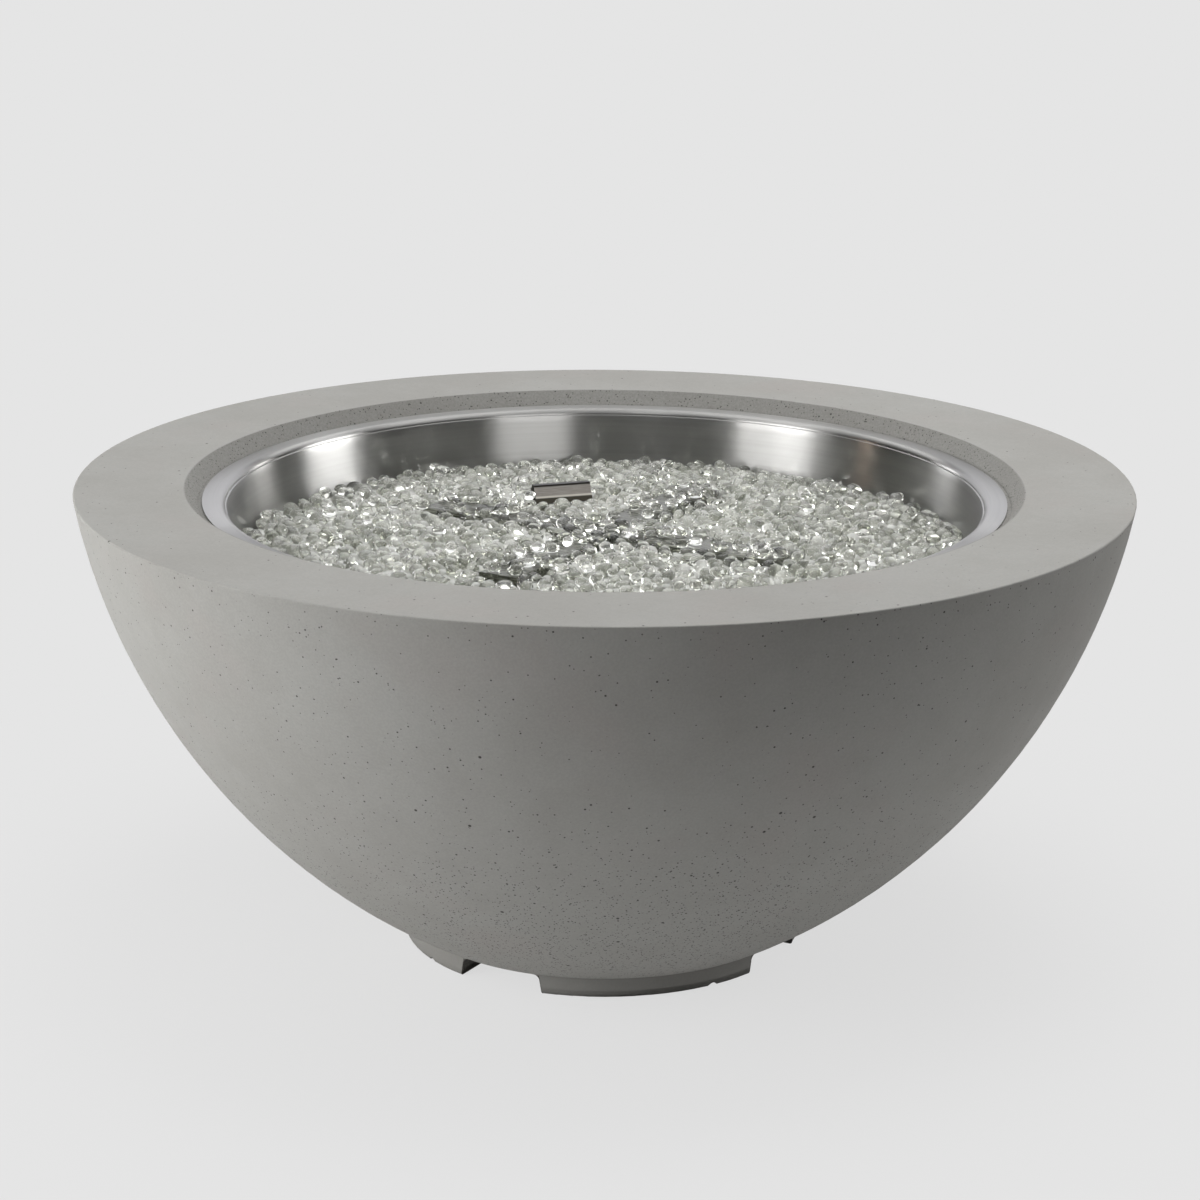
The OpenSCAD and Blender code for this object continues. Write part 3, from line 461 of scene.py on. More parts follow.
def cast_concrete():
    """Warm grey cast concrete: broad faint clouds, fine speckle, pinholes coloured near-black as painted
    shade that are most frequent low on the wall and under the rim, a rough pitted recess with painted
    shade, and painted shade on the feet, darkest on their ends."""
    material, tree, shader, place = start_material("cast_concrete", Specular_IOR_Level=0.3)
    broad = use(tree, CLOUD, Vector=place, Scale=4.0)
    fine = use(tree, CLOUD, Vector=place, Scale=420.0)
    x, y, z = split(tree, place)
    _, reach = from_axis(tree, x, y)
    inner = times(tree, ramp(tree, reach, *RECESS_REACH, 1.0, 0.0), ramp(tree, z, *RECESS_LOW))

    patches = ramp(tree, broad, 0.35, 0.65)
    colour = blend_colour(tree, patches, (0.374, 0.366, 0.344, 1), (0.413, 0.409, 0.388, 1))
    tint = ramp(tree, noise(tree, place, 9.0, 2.0), 0.5, 0.75, 0.0, 0.35)
    colour = blend_colour(tree, tint, colour, (0.402, 0.372, 0.352, 1))
    speckle = ramp(tree, fine, 0.38, 0.62, 0.95, 1.04)
    speckle = node(tree, "ShaderNodeCombineColor", {"Red": speckle, "Green": speckle, "Blue": speckle})
    colour = blend_colour(tree, 1.0, colour, speckle.outputs[0], "MULTIPLY")

    on_foot = ramp(tree, z, *FOOT_TOP, 1.0, 0.0)
    smooth_off = times(tree, ramp(tree, z, *RIM_SKIN, 1.0, 0.3), calc(tree, "SUBTRACT", 1.0, on_foot))
    clouded = ramp(tree, broad, 0.40, 0.62, 0.45, 1.2)
    patchy = times(tree, clouded, ramp(tree, z, *PITTED_WALL, 1.5, 0.32))
    under_rim = times(tree, ramp(tree, z, *UNDER_RIM_LOW), ramp(tree, z, *UNDER_RIM_TOP, 0.5, 0.0))
    patchy = calc(tree, "MULTIPLY_ADD", inner, 0.5, calc(tree, "ADD", patchy, under_rim))
    patchy = times(tree, patchy, smooth_off)
    clouded = ramp(tree, broad, 0.40, 0.62, 0.5, 1.2)
    sandy = times(tree, clouded, ramp(tree, z, *SANDY_WALL, 0.8, 0.06))
    sandy = times(tree, calc(tree, "MULTIPLY_ADD", inner, 0.45, sandy), smooth_off)
    small = use(tree, PITS, Vector=place, Cells=150.0, Share=times(tree, patchy, 0.7), Size=0.155)
    large = use(tree, PITS, Vector=place, Cells=62.0, Share=times(tree, patchy, 0.40), Size=0.105)
    tiny = use(tree, PITS, Vector=place, Cells=380.0, Share=sandy, Size=0.30)
    pits = calc(tree, "MAXIMUM", calc(tree, "MAXIMUM", small, large), tiny)

    # Painted shade on the recess wall, made uneven by the fine noise.
    recess_shade = ramp(tree, fine, 0.42, 0.56, 0.42, 0.68)
    colour = blend_colour(tree, times(tree, inner, recess_shade), colour, (0.198, 0.194, 0.180, 1))
    # Painted shade in the pinholes: they are coloured near-black.
    colour = blend_colour(tree, times(tree, pits, 0.9), colour, (0.040, 0.038, 0.034, 1))
    # Painted shade on the feet: they are coloured darker.
    colour = blend_colour(tree, times(tree, on_foot, 0.55), colour, (0.180, 0.175, 0.163, 1))
    # Painted shade on the feet's end faces beside the gaps, coloured nearly black.
    beside = calc(tree, "MINIMUM", calc(tree, "ABSOLUTE", x), calc(tree, "ABSOLUTE", y))
    beside = calc(tree, "MULTIPLY_ADD", z, FOOT_END_SLOPE, beside)
    beside = ramp(tree, beside, *FOOT_END_SHADE_GAP, 1.0, 0.0)
    foot_end_shade = times(tree, beside, ramp(tree, z, *FOOT_END_SHADE_TOP, 1.0, 0.0))
    foot_end_shade = times(tree, foot_end_shade, ramp(tree, fine, 0.4, 0.6, 0.75, 1.0))
    colour = blend_colour(tree, foot_end_shade, colour, (0.075, 0.072, 0.064, 1))

    set_look(tree, shader, colour, ramp(tree, fine, 0.3, 0.7, 0.72, 0.9))
    rough = times(tree, fine, calc(tree, "MULTIPLY_ADD", inner, 0.9, 0.25))
    set_bump(tree, shader, calc(tree, "SUBTRACT", rough, pits), 0.4, 0.0006)
    return material


def spun_steel():
    """Bright pan steel brushed round its axis: reflections stretch up and down across the fine lines."""
    material, tree, shader, place = start_material(
        "spun_steel", Metallic=1.0, Anisotropic=0.985, Anisotropic_Rotation=0.25)
    lines = use(tree, SPUN, Vector=place, Fineness=1500.0)
    bands = ramp(tree, use(tree, SPUN, Vector=place, Fineness=240.0), 0.3, 0.7)
    stain = ramp(tree, use(tree, CLOUD, Vector=place, Scale=11.0), 0.5, 0.7, 0.0, 0.25)
    colour = blend_colour(tree, bands, (0.302, 0.299, 0.292, 1), (0.321, 0.318, 0.311, 1))
    colour = blend_colour(tree, stain, colour, (0.267, 0.261, 0.254, 1))
    set_look(tree, shader, colour, ramp(tree, lines, 0.25, 0.75, 0.29, 0.31))
    tangent = node(tree, "ShaderNodeTangent", direction_type="RADIAL", axis="Z")
    tree.links.new(tangent.outputs[0], shader.inputs["Tangent"])
    set_bump(tree, shader, lines, 0.005, 0.0002)
    return material


def printed(tree, place, colour, mark_from, ink):
    """A colour that turns into ink on what stands further out from the back panel than a given place."""
    out = split(tree, place)[1]
    return blend_colour(tree, ramp(tree, out, mark_from, mark_from + MARK_EDGE), colour, ink)


def brushed_metal(name, dark, light, stretch, roughness, spots=0.0, mark_from=None):
    """Sheet or bar metal with straight brush lines, faint stains and a little unevenness, and with dark
    raised marks where their place is given."""
    material, tree, shader, place = start_material(name, Metallic=1.0)
    lines = use(tree, BRUSH, Vector=place, Stretch=stretch)
    stain = use(tree, CLOUD, Vector=place, Scale=45.0)
    colour = blend_colour(tree, ramp(tree, lines, 0.3, 0.7), dark, light)
    darker = tuple(0.55 * v for v in dark[:3]) + (1.0,)
    colour = blend_colour(tree, ramp(tree, stain, 0.48, 0.68, 0.0, 0.2 + spots), colour, darker)
    if mark_from:
        colour = printed(tree, place, colour, mark_from, (0.02, 0.02, 0.02, 1))
    set_look(tree, shader, colour, ramp(tree, lines, 0.25, 0.75, roughness - 0.06, roughness + 0.08))
    set_bump(tree, shader, lines, 0.08, 0.0002)
    return material


def hood_steel():
    """Sheet steel browned by the flame: brush lines along the hood, a roof coloured near-black as a
    painted dark reflection, and a painted highlight along the hem above painted shade."""
    material, tree, shader, place = start_material("hood_steel", Metallic=1.0)
    lines = use(tree, BRUSH, Vector=place, Stretch=(60, 60, 1500))
    stain = use(tree, CLOUD, Vector=place, Scale=45.0)
    height = split(tree, place)[2]
    brushed = ramp(tree, lines, 0.3, 0.7)
    colour = blend_colour(tree, brushed, (0.300, 0.280, 0.255, 1), (0.400, 0.375, 0.345, 1))
    colour = blend_colour(tree, ramp(tree, stain, 0.48, 0.68, 0.0, 0.3), colour, (0.22, 0.20, 0.18, 1))
    # Painted highlight along the hem.
    hem = ramp(tree, height, *HEM_HIGHLIGHT_SPAN, 1.0, 0.0)
    colour = blend_colour(tree, hem, colour, (0.70, 0.67, 0.60, 1))
    # Painted shade on the skirt below the hem.
    shade = ramp(tree, height, *HEM_SHADE, 1.0, 0.0)
    colour = blend_colour(tree, shade, colour, (0.075, 0.070, 0.056, 1))
    # Painted dark reflection on the roof: its top is coloured nearly black.
    roof_dark_reflection = ramp(tree, height, *ROOF_REFLECTION_SPAN)
    colour = blend_colour(tree, times(tree, roof_dark_reflection, 0.94), colour, (0.012, 0.011, 0.010, 1))
    set_look(tree, shader, colour, ramp(tree, lines, 0.25, 0.75, 0.28, 0.42))
    set_bump(tree, shader, lines, 0.08, 0.0002)
    return material


def moulded_plastic(name, colour, lighter, roughness, mark_from=None):
    """Moulded plastic or rubber with a fine grain and slightly paler worn patches, and with a pale raised
    pointer where its place is given."""
    material, tree, shader, place = start_material(name, Specular_IOR_Level=0.45)
    grain = noise(tree, place, 1400.0, 2.0)
    worn = use(tree, CLOUD, Vector=place, Scale=70.0)
    colour = blend_colour(tree, ramp(tree, worn, 0.5, 0.72), colour, lighter)
    if mark_from:
        colour = printed(tree, place, colour, mark_from, (0.62, 0.61, 0.58, 1))
    set_look(tree, shader, colour, ramp(tree, grain, 0.3, 0.7, roughness - 0.08, roughness + 0.08))
    set_bump(tree, shader, grain, 0.15, 0.0002)
    return material


def gem_glass(name, clear):
    """Tumbled glass with a faint grey-green tint that differs from gem to gem; the less clear it is, the
    milkier."""
    material, tree, shader, place = start_material(name, Transmission_Weight=clear, IOR=1.5, Metallic=0.0)
    own = node(tree, "ShaderNodeAttribute", attribute_name="gem_tint").outputs["Fac"]
    colour = blend_colour(tree, own, (0.68, 0.691, 0.638, 1), (0.965, 0.965, 0.941, 1))
    frost = noise(tree, place, 240.0, 2.0)
    set_look(tree, shader, colour, ramp(tree, frost, 0.5, 0.8, 0.0, 0.06))
    return material


def deep_glass():
    """The glass below the top layers: grey-green cells, painted paler where light comes through and
    painted darker as shade between gems."""
    material, tree, shader, place = start_material("deep_glass", Specular_IOR_Level=0.6)
    cells = node(tree, "ShaderNodeTexVoronoi", {"Vector": place, "Scale": 75.0}).outputs["Distance"]
    glow = use(tree, CLOUD, Vector=place, Scale=40.0)
    # Painted shade between the gems.
    between = ramp(tree, cells, 0.15, 0.7)
    colour = blend_colour(tree, between, (0.82, 0.83, 0.785, 1), (0.42, 0.43, 0.395, 1))
    # Painted light where light comes through the gems.
    colour = blend_colour(tree, ramp(tree, glow, 0.45, 0.65, 0.0, 0.6), colour, (0.85, 0.86, 0.82, 1))
    set_look(tree, shader, colour, ramp(tree, glow, 0.3, 0.7, 0.1, 0.3))
    set_bump(tree, shader, cells, 1.0, 0.004)
    return material


def white_ceramic():
    """Unglazed ceramic: off-white with faint grey specks."""
    material, tree, shader, place = start_material("white_ceramic", Specular_IOR_Level=0.4)
    specks = times(tree, use(tree, PITS, Vector=place, Cells=900.0, Share=0.2, Size=0.3), 0.4)
    cloudy = use(tree, CLOUD, Vector=place, Scale=120.0)
    patches = ramp(tree, cloudy, 0.35, 0.65)
    colour = blend_colour(tree, patches, (0.76, 0.73, 0.66, 1), (0.86, 0.84, 0.79, 1))
    colour = blend_colour(tree, specks, colour, (0.4, 0.38, 0.34, 1))
    set_look(tree, shader, colour, ramp(tree, cloudy, 0.3, 0.7, 0.45, 0.65))
    set_bump(tree, shader, cloudy, 0.1, 0.0003)
    return material


def woven_hose():
    """Steel braid: two sets of crossing strands from the hose's own length and angle, with a painted
    highlight on the strands and painted shade between them."""
    material, tree, shader, place = start_material("woven_hose", Metallic=1.0)
    run = node(tree, "ShaderNodeAttribute", attribute_name="hose_run").outputs["Fac"]
    turn = node(tree, "ShaderNodeAttribute", attribute_name="hose_turn").outputs["Fac"]
    along, around = times(tree, run, BRAID_PITCH), times(tree, turn, BRAID_STRANDS)
    one = calc(tree, "SINE", calc(tree, "ADD", along, around))
    two = calc(tree, "SINE", calc(tree, "SUBTRACT", along, around))
    weave = calc(tree, "MAXIMUM", one, two)
    # Painted highlight on the strands and painted shade between them.
    strand = ramp(tree, weave, -0.2, 0.8)
    colour = blend_colour(tree, strand, (0.10, 0.10, 0.09, 1), (0.62, 0.61, 0.57, 1))
    stain = use(tree, CLOUD, Vector=place, Scale=60.0)
    set_look(tree, shader, colour, ramp(tree, stain, 0.3, 0.7, 0.3, 0.5))
    set_bump(tree, shader, weave, 0.6, 0.0006)
    return material


# How far out from the back panel the dial's marks and the knob's pointer start.
DIAL_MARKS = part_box("knob_bezel")[1][1] - 0.0002
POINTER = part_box("control_knob")[1][1] - 0.0007

CONCRETE = cast_concrete()
PAN_STEEL = spun_steel()
BURNER_STEEL = brushed_metal(
    "burner_steel", (0.092, 0.095, 0.078, 1), (0.160, 0.163, 0.138, 1), (30, 900, 900), 0.26, 0.35)
HOOD_STEEL = hood_steel()
BRACKET_STEEL = brushed_metal(
    "bracket_steel", grey(0.38, 0.02), grey(0.50, 0.02), (60, 60, 900), 0.34, 0.1)
PANEL_STEEL = brushed_metal("panel_steel", grey(0.52), grey(0.66), (30, 900, 1600), 0.32)
FASTENER_STEEL = brushed_metal("fastener_steel", grey(0.40), grey(0.55), (500, 500, 900), 0.36)
PLATED_STEEL = brushed_metal("plated_steel", grey(0.62), grey(0.74), (300, 1400, 300), 0.20)
SPRING_STEEL = brushed_metal("spring_steel", grey(0.36), grey(0.50), (700, 700, 700), 0.30)
PIPE_IRON = brushed_metal("pipe_iron", grey(0.08), grey(0.15), (400, 400, 900), 0.52, 0.3)
BRASS = brushed_metal(
    "turned_brass", (0.52, 0.36, 0.14, 1), (0.68, 0.50, 0.22, 1), (900, 900, 900), 0.30, 0.15)
COPPER = brushed_metal(
    "drawn_copper", (0.46, 0.22, 0.13, 1), (0.64, 0.34, 0.21, 1), (300, 300, 900), 0.34, 0.2)
BEZEL_STEEL = brushed_metal(
    "bezel_steel", grey(0.52), grey(0.66), (30, 900, 1600), 0.32, mark_from=DIAL_MARKS)
POINTER_PLASTIC = moulded_plastic(
    "pointer_plastic", grey(0.022), grey(0.040), 0.46, mark_from=POINTER)
KNOB_PLASTIC = moulded_plastic("knob_plastic", grey(0.022), grey(0.040), 0.46)
BATTERY_SLEEVE = moulded_plastic(
    "battery_sleeve", (0.03, 0.035, 0.045, 1), (0.05, 0.055, 0.065, 1), 0.28)
LEAD_SLEEVE = moulded_plastic("lead_sleeve", (0.32, 0.045, 0.02, 1), (0.42, 0.08, 0.04, 1), 0.5)
GEM_GLASS = gem_glass("gem_glass", 0.94)
GEM_MILKY = gem_glass("gem_milky", 0.48)
DEEP_GLASS = deep_glass()
CERAMIC = white_ceramic()
HOSE_BRAID = woven_hose()

NODE_FINISH = {
    "bowl_shell": CONCRETE, "panel_inserts": BRASS, "control_panel": PANEL_STEEL,
    "panel_screws": FASTENER_STEEL, "knob_bezel": BEZEL_STEEL, "valve_body": BRASS,
    "valve_nut": PLATED_STEEL, "valve_plunger": BRASS, "valve_stem": PLATED_STEEL,
    "control_knob": POINTER_PLASTIC, "knob_screw": FASTENER_STEEL, "igniter_body": KNOB_PLASTIC,
    "igniter_battery": BATTERY_SLEEVE, "igniter_bezel": PLATED_STEEL, "igniter_button": KNOB_PLASTIC,
    "hose_nut_valve": BRASS, "burner_shell": BURNER_STEEL, "burner_base": BURNER_STEEL,
    "burner_standoffs": FASTENER_STEEL, "burner_screws": FASTENER_STEEL, "burner_nuts": FASTENER_STEEL,
    "burner_inlet": PIPE_IRON, "inlet_locknuts": FASTENER_STEEL, "air_mixer": BRASS,
    "gas_orifice": BRASS, "hose_nut_burner": BRASS, "igniter_hood": HOOD_STEEL,
    "igniter_bracket": BRACKET_STEEL, "bracket_screws": FASTENER_STEEL,
    "spark_electrode": SPRING_STEEL, "electrode_insulator": CERAMIC, "thermocouple": COPPER,
}
for name, finish in NODE_FINISH.items():
    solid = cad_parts[name]
    if not solid.material_slots:
        solid.data.materials.append(finish)
    for place_slot in solid.material_slots:
        place_slot.material = finish


# Pieces

def make_pan():
    """Spun pan: flange, rounded lip with a small step, leaning wall, rounded corner and floor, as one bent
    sheet of even thickness turned round the axis, with the inlet's hole left open in the middle."""
    mid = FLANGE_Z - PAN_T / 2
    floor_mid = FLOOR_Z - PAN_T / 2
    lip = PAN_R + LIP_STEP - LIP_BEND * math.cos(math.radians(LIP_END))
    low_r = PAN_R - PAN_DRAFT
    wall_top = np.array([PAN_R, mid - LIP_DROP])
    wall_low = np.array([low_r, floor_mid + FLOOR_BEND])
    wall = wall_top + (wall_low - wall_top) * np.linspace(0.02, 0.98, 12)[:, None]
    line = np.vstack([
        [[FLANGE_R, mid], [FLANGE_R - 0.0004, mid]],
        np.linspace([FLANGE_R - 0.002, mid], [lip + 0.001, mid], 4),
        arc([lip, mid - LIP_BEND], LIP_BEND, 90, LIP_END, 12),
        [[PAN_R + LIP_STEP - LEDGE_EDGE, mid - LEDGE_HIGH], [PAN_R + LEDGE_IN, mid - LEDGE_LOW]],
        wall,
        arc([low_r - FLOOR_BEND, floor_mid + FLOOR_BEND], FLOOR_BEND, -4, -90, 14),
        np.linspace([low_r - FLOOR_BEND - 0.02, floor_mid], [INLET_HOLE_R, floor_mid], 8),
    ])
    outline = sheet_outline(line, PAN_T)
    points = revolved(outline, PAN_STEPS)
    faces = facing_out(points, grid_faces(PAN_STEPS, len(outline), True, True))
    pan = add_piece("pan", points, faces, PAN_STEEL, "burner_tray", ["burner_pan"])
    pan.data.set_sharp_from_angle(angle=math.radians(50))


def bed_height(x, y):
    """Top of the heaped glass: it falls from the middle with the cube of the distance, and banks up again
    with the fourth power of the distance to the photograph's left and right."""
    side = (x * math.cos(VIEW_TURN) + y * math.sin(VIEW_TURN)) / BED_R
    return BED_Z + BED_RISE * (1 - (np.hypot(x, y) / BED_R) ** 3) + BED_BANK * side**4


def over_arms(xy, margin):
    """True where a place is over the burner's cross, widened by the margin."""
    far, near = np.abs(xy).max(1), np.abs(xy).min(1)
    return (near < ARM_W / 2 + margin) & (far < ARM_LEN + margin)


def near_hood(xy, margin, front):
    """True where a place is under the hood's roof, widened by a margin, and by the front one on the side
    of the pan's middle."""
    c, s = math.cos(HOOD_AZ), math.sin(HOOD_AZ)
    out = xy[:, 0] * c + xy[:, 1] * s - HOOD_R
    side = np.abs(-xy[:, 0] * s + xy[:, 1] * c)
    return (out < HOOD_HALF + margin) & (out > -HOOD_HALF - front) & (side < HOOD_LEN / 2 + margin)


def gem_sites(odd, reach):
    """Places on a square net, every second one, each shifted by sines of its row and column, as the solid
    bed has them: even places carry gems, odd ones are the hollows between them."""
    step = GEM_SIZE / math.sqrt(2)
    rows = math.ceil(BED_R / step)
    i, j = np.meshgrid(np.arange(-rows, rows + 1), np.arange(-rows, rows + 1), indexing="ij")
    by_row, by_column, by_both = SITE_TURNS
    angle = np.radians(by_row * i * i + by_column * j * j + by_both * i * j)
    shift = GEM_SIZE / 8 * np.stack([np.sin(angle), np.cos(angle)], -1)
    xy = (step * np.stack([i, j], -1) + shift)[(i + j) % 2 == odd]
    return xy[np.hypot(*xy.T) < reach]


def gem_shape(around, rows):
    """Unit ball of latitude and longitude lines, with a point at each pole, as triangles."""
    v = np.linspace(-np.pi / 2, np.pi / 2, rows + 1)[1:-1, None]
    u = np.linspace(0, 2 * np.pi, around, endpoint=False)[None]
    ball = np.stack([np.cos(v) * np.cos(u), np.cos(v) * np.sin(u), np.sin(v) + 0 * u], -1)
    ball = np.vstack([ball.reshape(-1, 3), [[0, 0, -1], [0, 0, 1]]])
    sides = grid_faces(rows - 1, around, wrap_columns=True)
    k = np.arange(around)
    m = (k + 1) % around
    low, high = around * (rows - 1), around * (rows - 1) + 1
    top = (rows - 2) * around
    triangles = np.vstack([
        sides[:, [0, 2, 1]], sides[:, [0, 3, 2]],
        np.stack([k, np.full(around, low), m], -1),
        np.stack([top + k, top + m, np.full(around, high)], -1),
    ])
    return ball, facing_out(ball, triangles)


def turned(rng, count, lean):
    """Rotation for each gem: a spin about Z, a lean of its own size, and another spin."""
    spin, last = rng.uniform(0, 2 * np.pi, (2, count))
    tip = np.abs(rng.normal(0, lean, count))
    zero, one = np.zeros(count), np.ones(count)

    def about_z(a):
        c, s = np.cos(a), np.sin(a)
        return np.stack([c, -s, zero, s, c, zero, zero, zero, one], -1).reshape(-1, 3, 3)

    c, s = np.cos(tip), np.sin(tip)
    about_x = np.stack([one, zero, zero, zero, c, -s, zero, s, c], -1).reshape(-1, 3, 3)
    return about_z(spin) @ about_x @ about_z(last)


def lay_gems(name, xy, top, rng, material, lean=0.45, flat=1.0):
    """Gems whose tops reach a height: the unit ball is stretched to each gem's own width, breadth and
    height, turned and moved. Its surface directions are the ball's, shrunk by the same stretch."""
    ball, faces = gem_shape(*GEM_STEPS)
    count = len(xy)
    width = rng.uniform(*GEM_HALF_WIDTH, count)
    breadth = width * rng.uniform(*GEM_BREADTH, count)
    height = width * rng.uniform(*GEM_HEIGHT, count) * flat
    size = np.stack([width, breadth, height], -1)
    turn = turned(rng, count, lean)
    placed = np.einsum("gij,gpj->gpi", turn, ball[None] * size[:, None])
    normals = np.einsum("gij,gpj->gpi", turn, ball[None] / size[:, None]).reshape(-1, 3)
    normals = normals / np.linalg.norm(normals, axis=1)[:, None]
    half = placed[..., 2].max(1)
    placed += np.concatenate([xy, (top - half)[:, None]], 1)[:, None]
    points = placed.reshape(-1, 3)
    all_faces = (faces[None] + (np.arange(count) * len(ball))[:, None, None]).reshape(-1, 3)
    piece = add_piece(name, points, all_faces, material, "burner_tray", ["glass_beads"])
    piece.data.normals_split_custom_set_from_vertices(normals)
    add_values(piece, "gem_tint", np.repeat(rng.uniform(0, 1, count), len(ball)))


def make_gems():
    """Two layers of gems over the heaped bed, a thin layer on the burner's arms, and a few gems lying on
    the others."""
    rng = np.random.default_rng(41)
    reach = BED_R - GEM_EDGE
    even = gem_sites(0, reach)
    even = even[~near_hood(even, HOOD_ROOM, HOOD_FRONT_ROOM)]
    on_arms = over_arms(even, ARM_ROOM)
    open_bed = even[~on_arms]
    top = bed_height(*open_bed.T) + GEM_PROUD + rng.normal(0, GEM_UNEVEN, len(open_bed))
    lay_gems("gems_top", open_bed, top, rng, GEM_GLASS)
    hollows = gem_sites(1, reach)
    hollows = hollows[~near_hood(hollows, HOOD_ROOM, HOOD_ROOM)]
    hollows = hollows[~over_arms(hollows, ARM_HOLLOW_ROOM)]
    top = bed_height(*hollows.T) + GEM_PROUD - HOLLOW_DROP + rng.normal(0, GEM_UNEVEN, len(hollows))
    lay_gems("gems_between", hollows, top, rng, GEM_MILKY)
    arms = even[on_arms]
    arms = arms[rng.uniform(0, 1, len(arms)) < ARM_GEM_SHARE]
    top = np.full(len(arms), ARM_TOP + ARM_GEM_RISE)
    lay_gems("gems_on_burner", arms, top, rng, GEM_GLASS, lean=0.4, flat=0.9)
    loose = hollows[rng.uniform(0, 1, len(hollows)) < LOOSE_GEM_SHARE]
    top = bed_height(*loose.T) + GEM_PROUD + rng.uniform(*LOOSE_GEM_RISE, len(loose))
    lay_gems("gems_loose", loose, top, rng, GEM_GLASS, lean=0.7)


def make_bed():
    """Deep part of the glass: the heaped height less the loose layers, with low waves, on rings out to
    the wall."""
    r = np.linspace(0.0005, BED_R - 0.002, DEEP_RINGS)
    a = np.linspace(0, 2 * np.pi, DEEP_STEPS, endpoint=False)[:, None]
    waves = DEEP_WAVE * np.sin(r * 900 + 3 * np.sin(a * 7)) * np.sin(a * 41 + r * 300)
    top = bed_height(r * np.cos(a), r * np.sin(a)) - DEEP_DROP + waves
    under = np.full_like(top, FLOOR_Z + 0.0005)
    radius = np.broadcast_to(r, top.shape)
    ring = np.concatenate([radius, radius[:, ::-1]], 1)
    high = np.concatenate([top, under], 1)
    points = np.stack([ring * np.cos(a), ring * np.sin(a), high], -1).reshape(-1, 3)
    faces = facing_out(points, grid_faces(DEEP_STEPS, 2 * DEEP_RINGS, True, True))
    add_piece("gems_deep", points, faces, DEEP_GLASS, "burner_tray", ["glass_beads"])


def probe_place(side):
    """Plan place of a probe beside the hood's middle line."""
    c, s = math.cos(HOOD_AZ), math.sin(HOOD_AZ)
    return HOOD_R * c - side * s, HOOD_R * s + side * c


def bend_between(piece):
    """Writes the piece's place into its points."""
    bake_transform(piece)


def make_hose():
    """Braided gas hose from the valve to the air mixer, with a slight swell at each braid pitch."""
    start_x = VALVE_X - VALVE_HALF - FLARE_LEN - NUT_PROUD
    start = np.array([start_x, PANEL_Y + VALVE_PORT, PANEL_Z])
    end = np.array([0, 0, HOSE_END_Z])
    middle = np.array([
        [-0.160, 0.325, 0.228], [-0.205, 0.270, 0.205], [-0.195, 0.190, 0.175],
        [-0.125, 0.100, 0.152], [-0.050, 0.038, 0.150], [-0.008, 0.005, 0.180]])
    route = np.vstack([[start - [HOSE_START_RUN, 0, 0]], middle, [end - [0, 0, HOSE_END_RUN]]])
    path, run = evenly(spline(start, route, end, 12), HOSE_STEP)
    points, faces = tube(path, HOSE_R + BRAID_SWELL * np.sin(run * BRAID_PITCH), HOSE_SIDES)
    hose = add_piece("gas_hose_braid", points, faces, HOSE_BRAID, None, ["gas_hose"])
    turn = np.linspace(0, 2 * np.pi, HOSE_SIDES, endpoint=False)
    add_values(hose, "hose_run", np.repeat(np.r_[run[0], run, run[-1]], HOSE_SIDES))
    add_values(hose, "hose_turn", np.tile(turn, len(run) + 2))
    bend_between(hose)


def make_lead(name, stands_for, start, route, side, wire, finish):
    """Slim smooth tube from its start at the controls along a route up to the probe on that side; wire is
    its radius and its count of sides, finish its material and a slot name that is not used."""
    x, y = probe_place(side)
    end = np.array([x, y, PROBE_LOW_Z])
    path = spline(start, np.vstack([route, [end - [0, 0, LEAD_END_RUN]]]), end, 16)
    points, faces = tube(evenly(path, LEAD_STEP)[0], *wire)
    material, slot = finish
    lead = add_piece(name, points, faces, material, None, [stands_for])
    bend_between(lead)


def make_leads():
    """Spark lead from the igniter's back and sensor lead from the valve's lower port."""
    start = np.array([IGNITER_X, PANEL_Y - IGNITER_LEN, PANEL_Z])
    route = [
        start - [0, 0.020, 0],
        [0.020, 0.240, 0.225], [-0.030, 0.185, 0.232], [-0.075, 0.140, 0.285]]
    make_lead("spark_lead", "ignition_lead", start, route, PROBE_GAP / 2,
              (0.0025, 14), (LEAD_SLEEVE, "lead_silicone"))
    start = np.array([VALVE_X, PANEL_Y + VALVE_PORT, PANEL_Z - VALVE_HALF - LEAD_PORT_LEN])
    route = [
        start - [0, 0, 0.012],
        [-0.060, 0.320, 0.168], [-0.115, 0.265, 0.155], [-0.155, 0.190, 0.200], [-0.150, 0.130, 0.280]]
    make_lead("sensor_lead", "thermocouple_lead", start, route, -PROBE_GAP / 2,
              (0.0015, 12), (COPPER, "copper"))


def make_springs():
    """The three coil springs behind the knob, the battery and the button. The first and the last, whose
    outer end meets the plunger or the button, ride on no body; the middle one rides on the bowl. Each row
    has the name, the node, the place, the radius, the span, the turns and their steps, the wire's radius
    and the part at the outer end."""
    springs = (
        ("knob_coil", "stem_spring",
         VALVE_X, 0.0048, (-0.043, -0.0173), (7, 28), 0.00065, "valve_plunger"),
        ("battery_coil", "battery_spring",
         IGNITER_X, 0.005, (-0.0572, -0.0513), (3, 28), 0.0005, None),
        ("button_coil", "button_spring",
         IGNITER_X, 0.0092, (0.0067, 0.0125), (3, 36), 0.0004, "igniter_button"),
    )
    for name, stands_for, x, radius, (low, high), turns, wire, mover in springs:
        points, faces = tube(coil(radius, low, high, *turns), wire, 10)
        points = on_panel(points, x)
        faces = facing_out(points, faces)
        body = None if mover else "bowl"
        spring = add_piece(name, points, faces, SPRING_STEEL, body, [stands_for])
        if mover:
            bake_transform(spring)


make_pan()
make_bed()
make_gems()
make_hose()
make_leads()
make_springs()


# Stage, light and camera

# The backdrop's grey, the strength of the even light, the height that the lamps face, a card's steps.
PALE = 0.783
ROOM = 0.070
LAMP_AIM_Z = 0.36
CARD_STEPS = 40

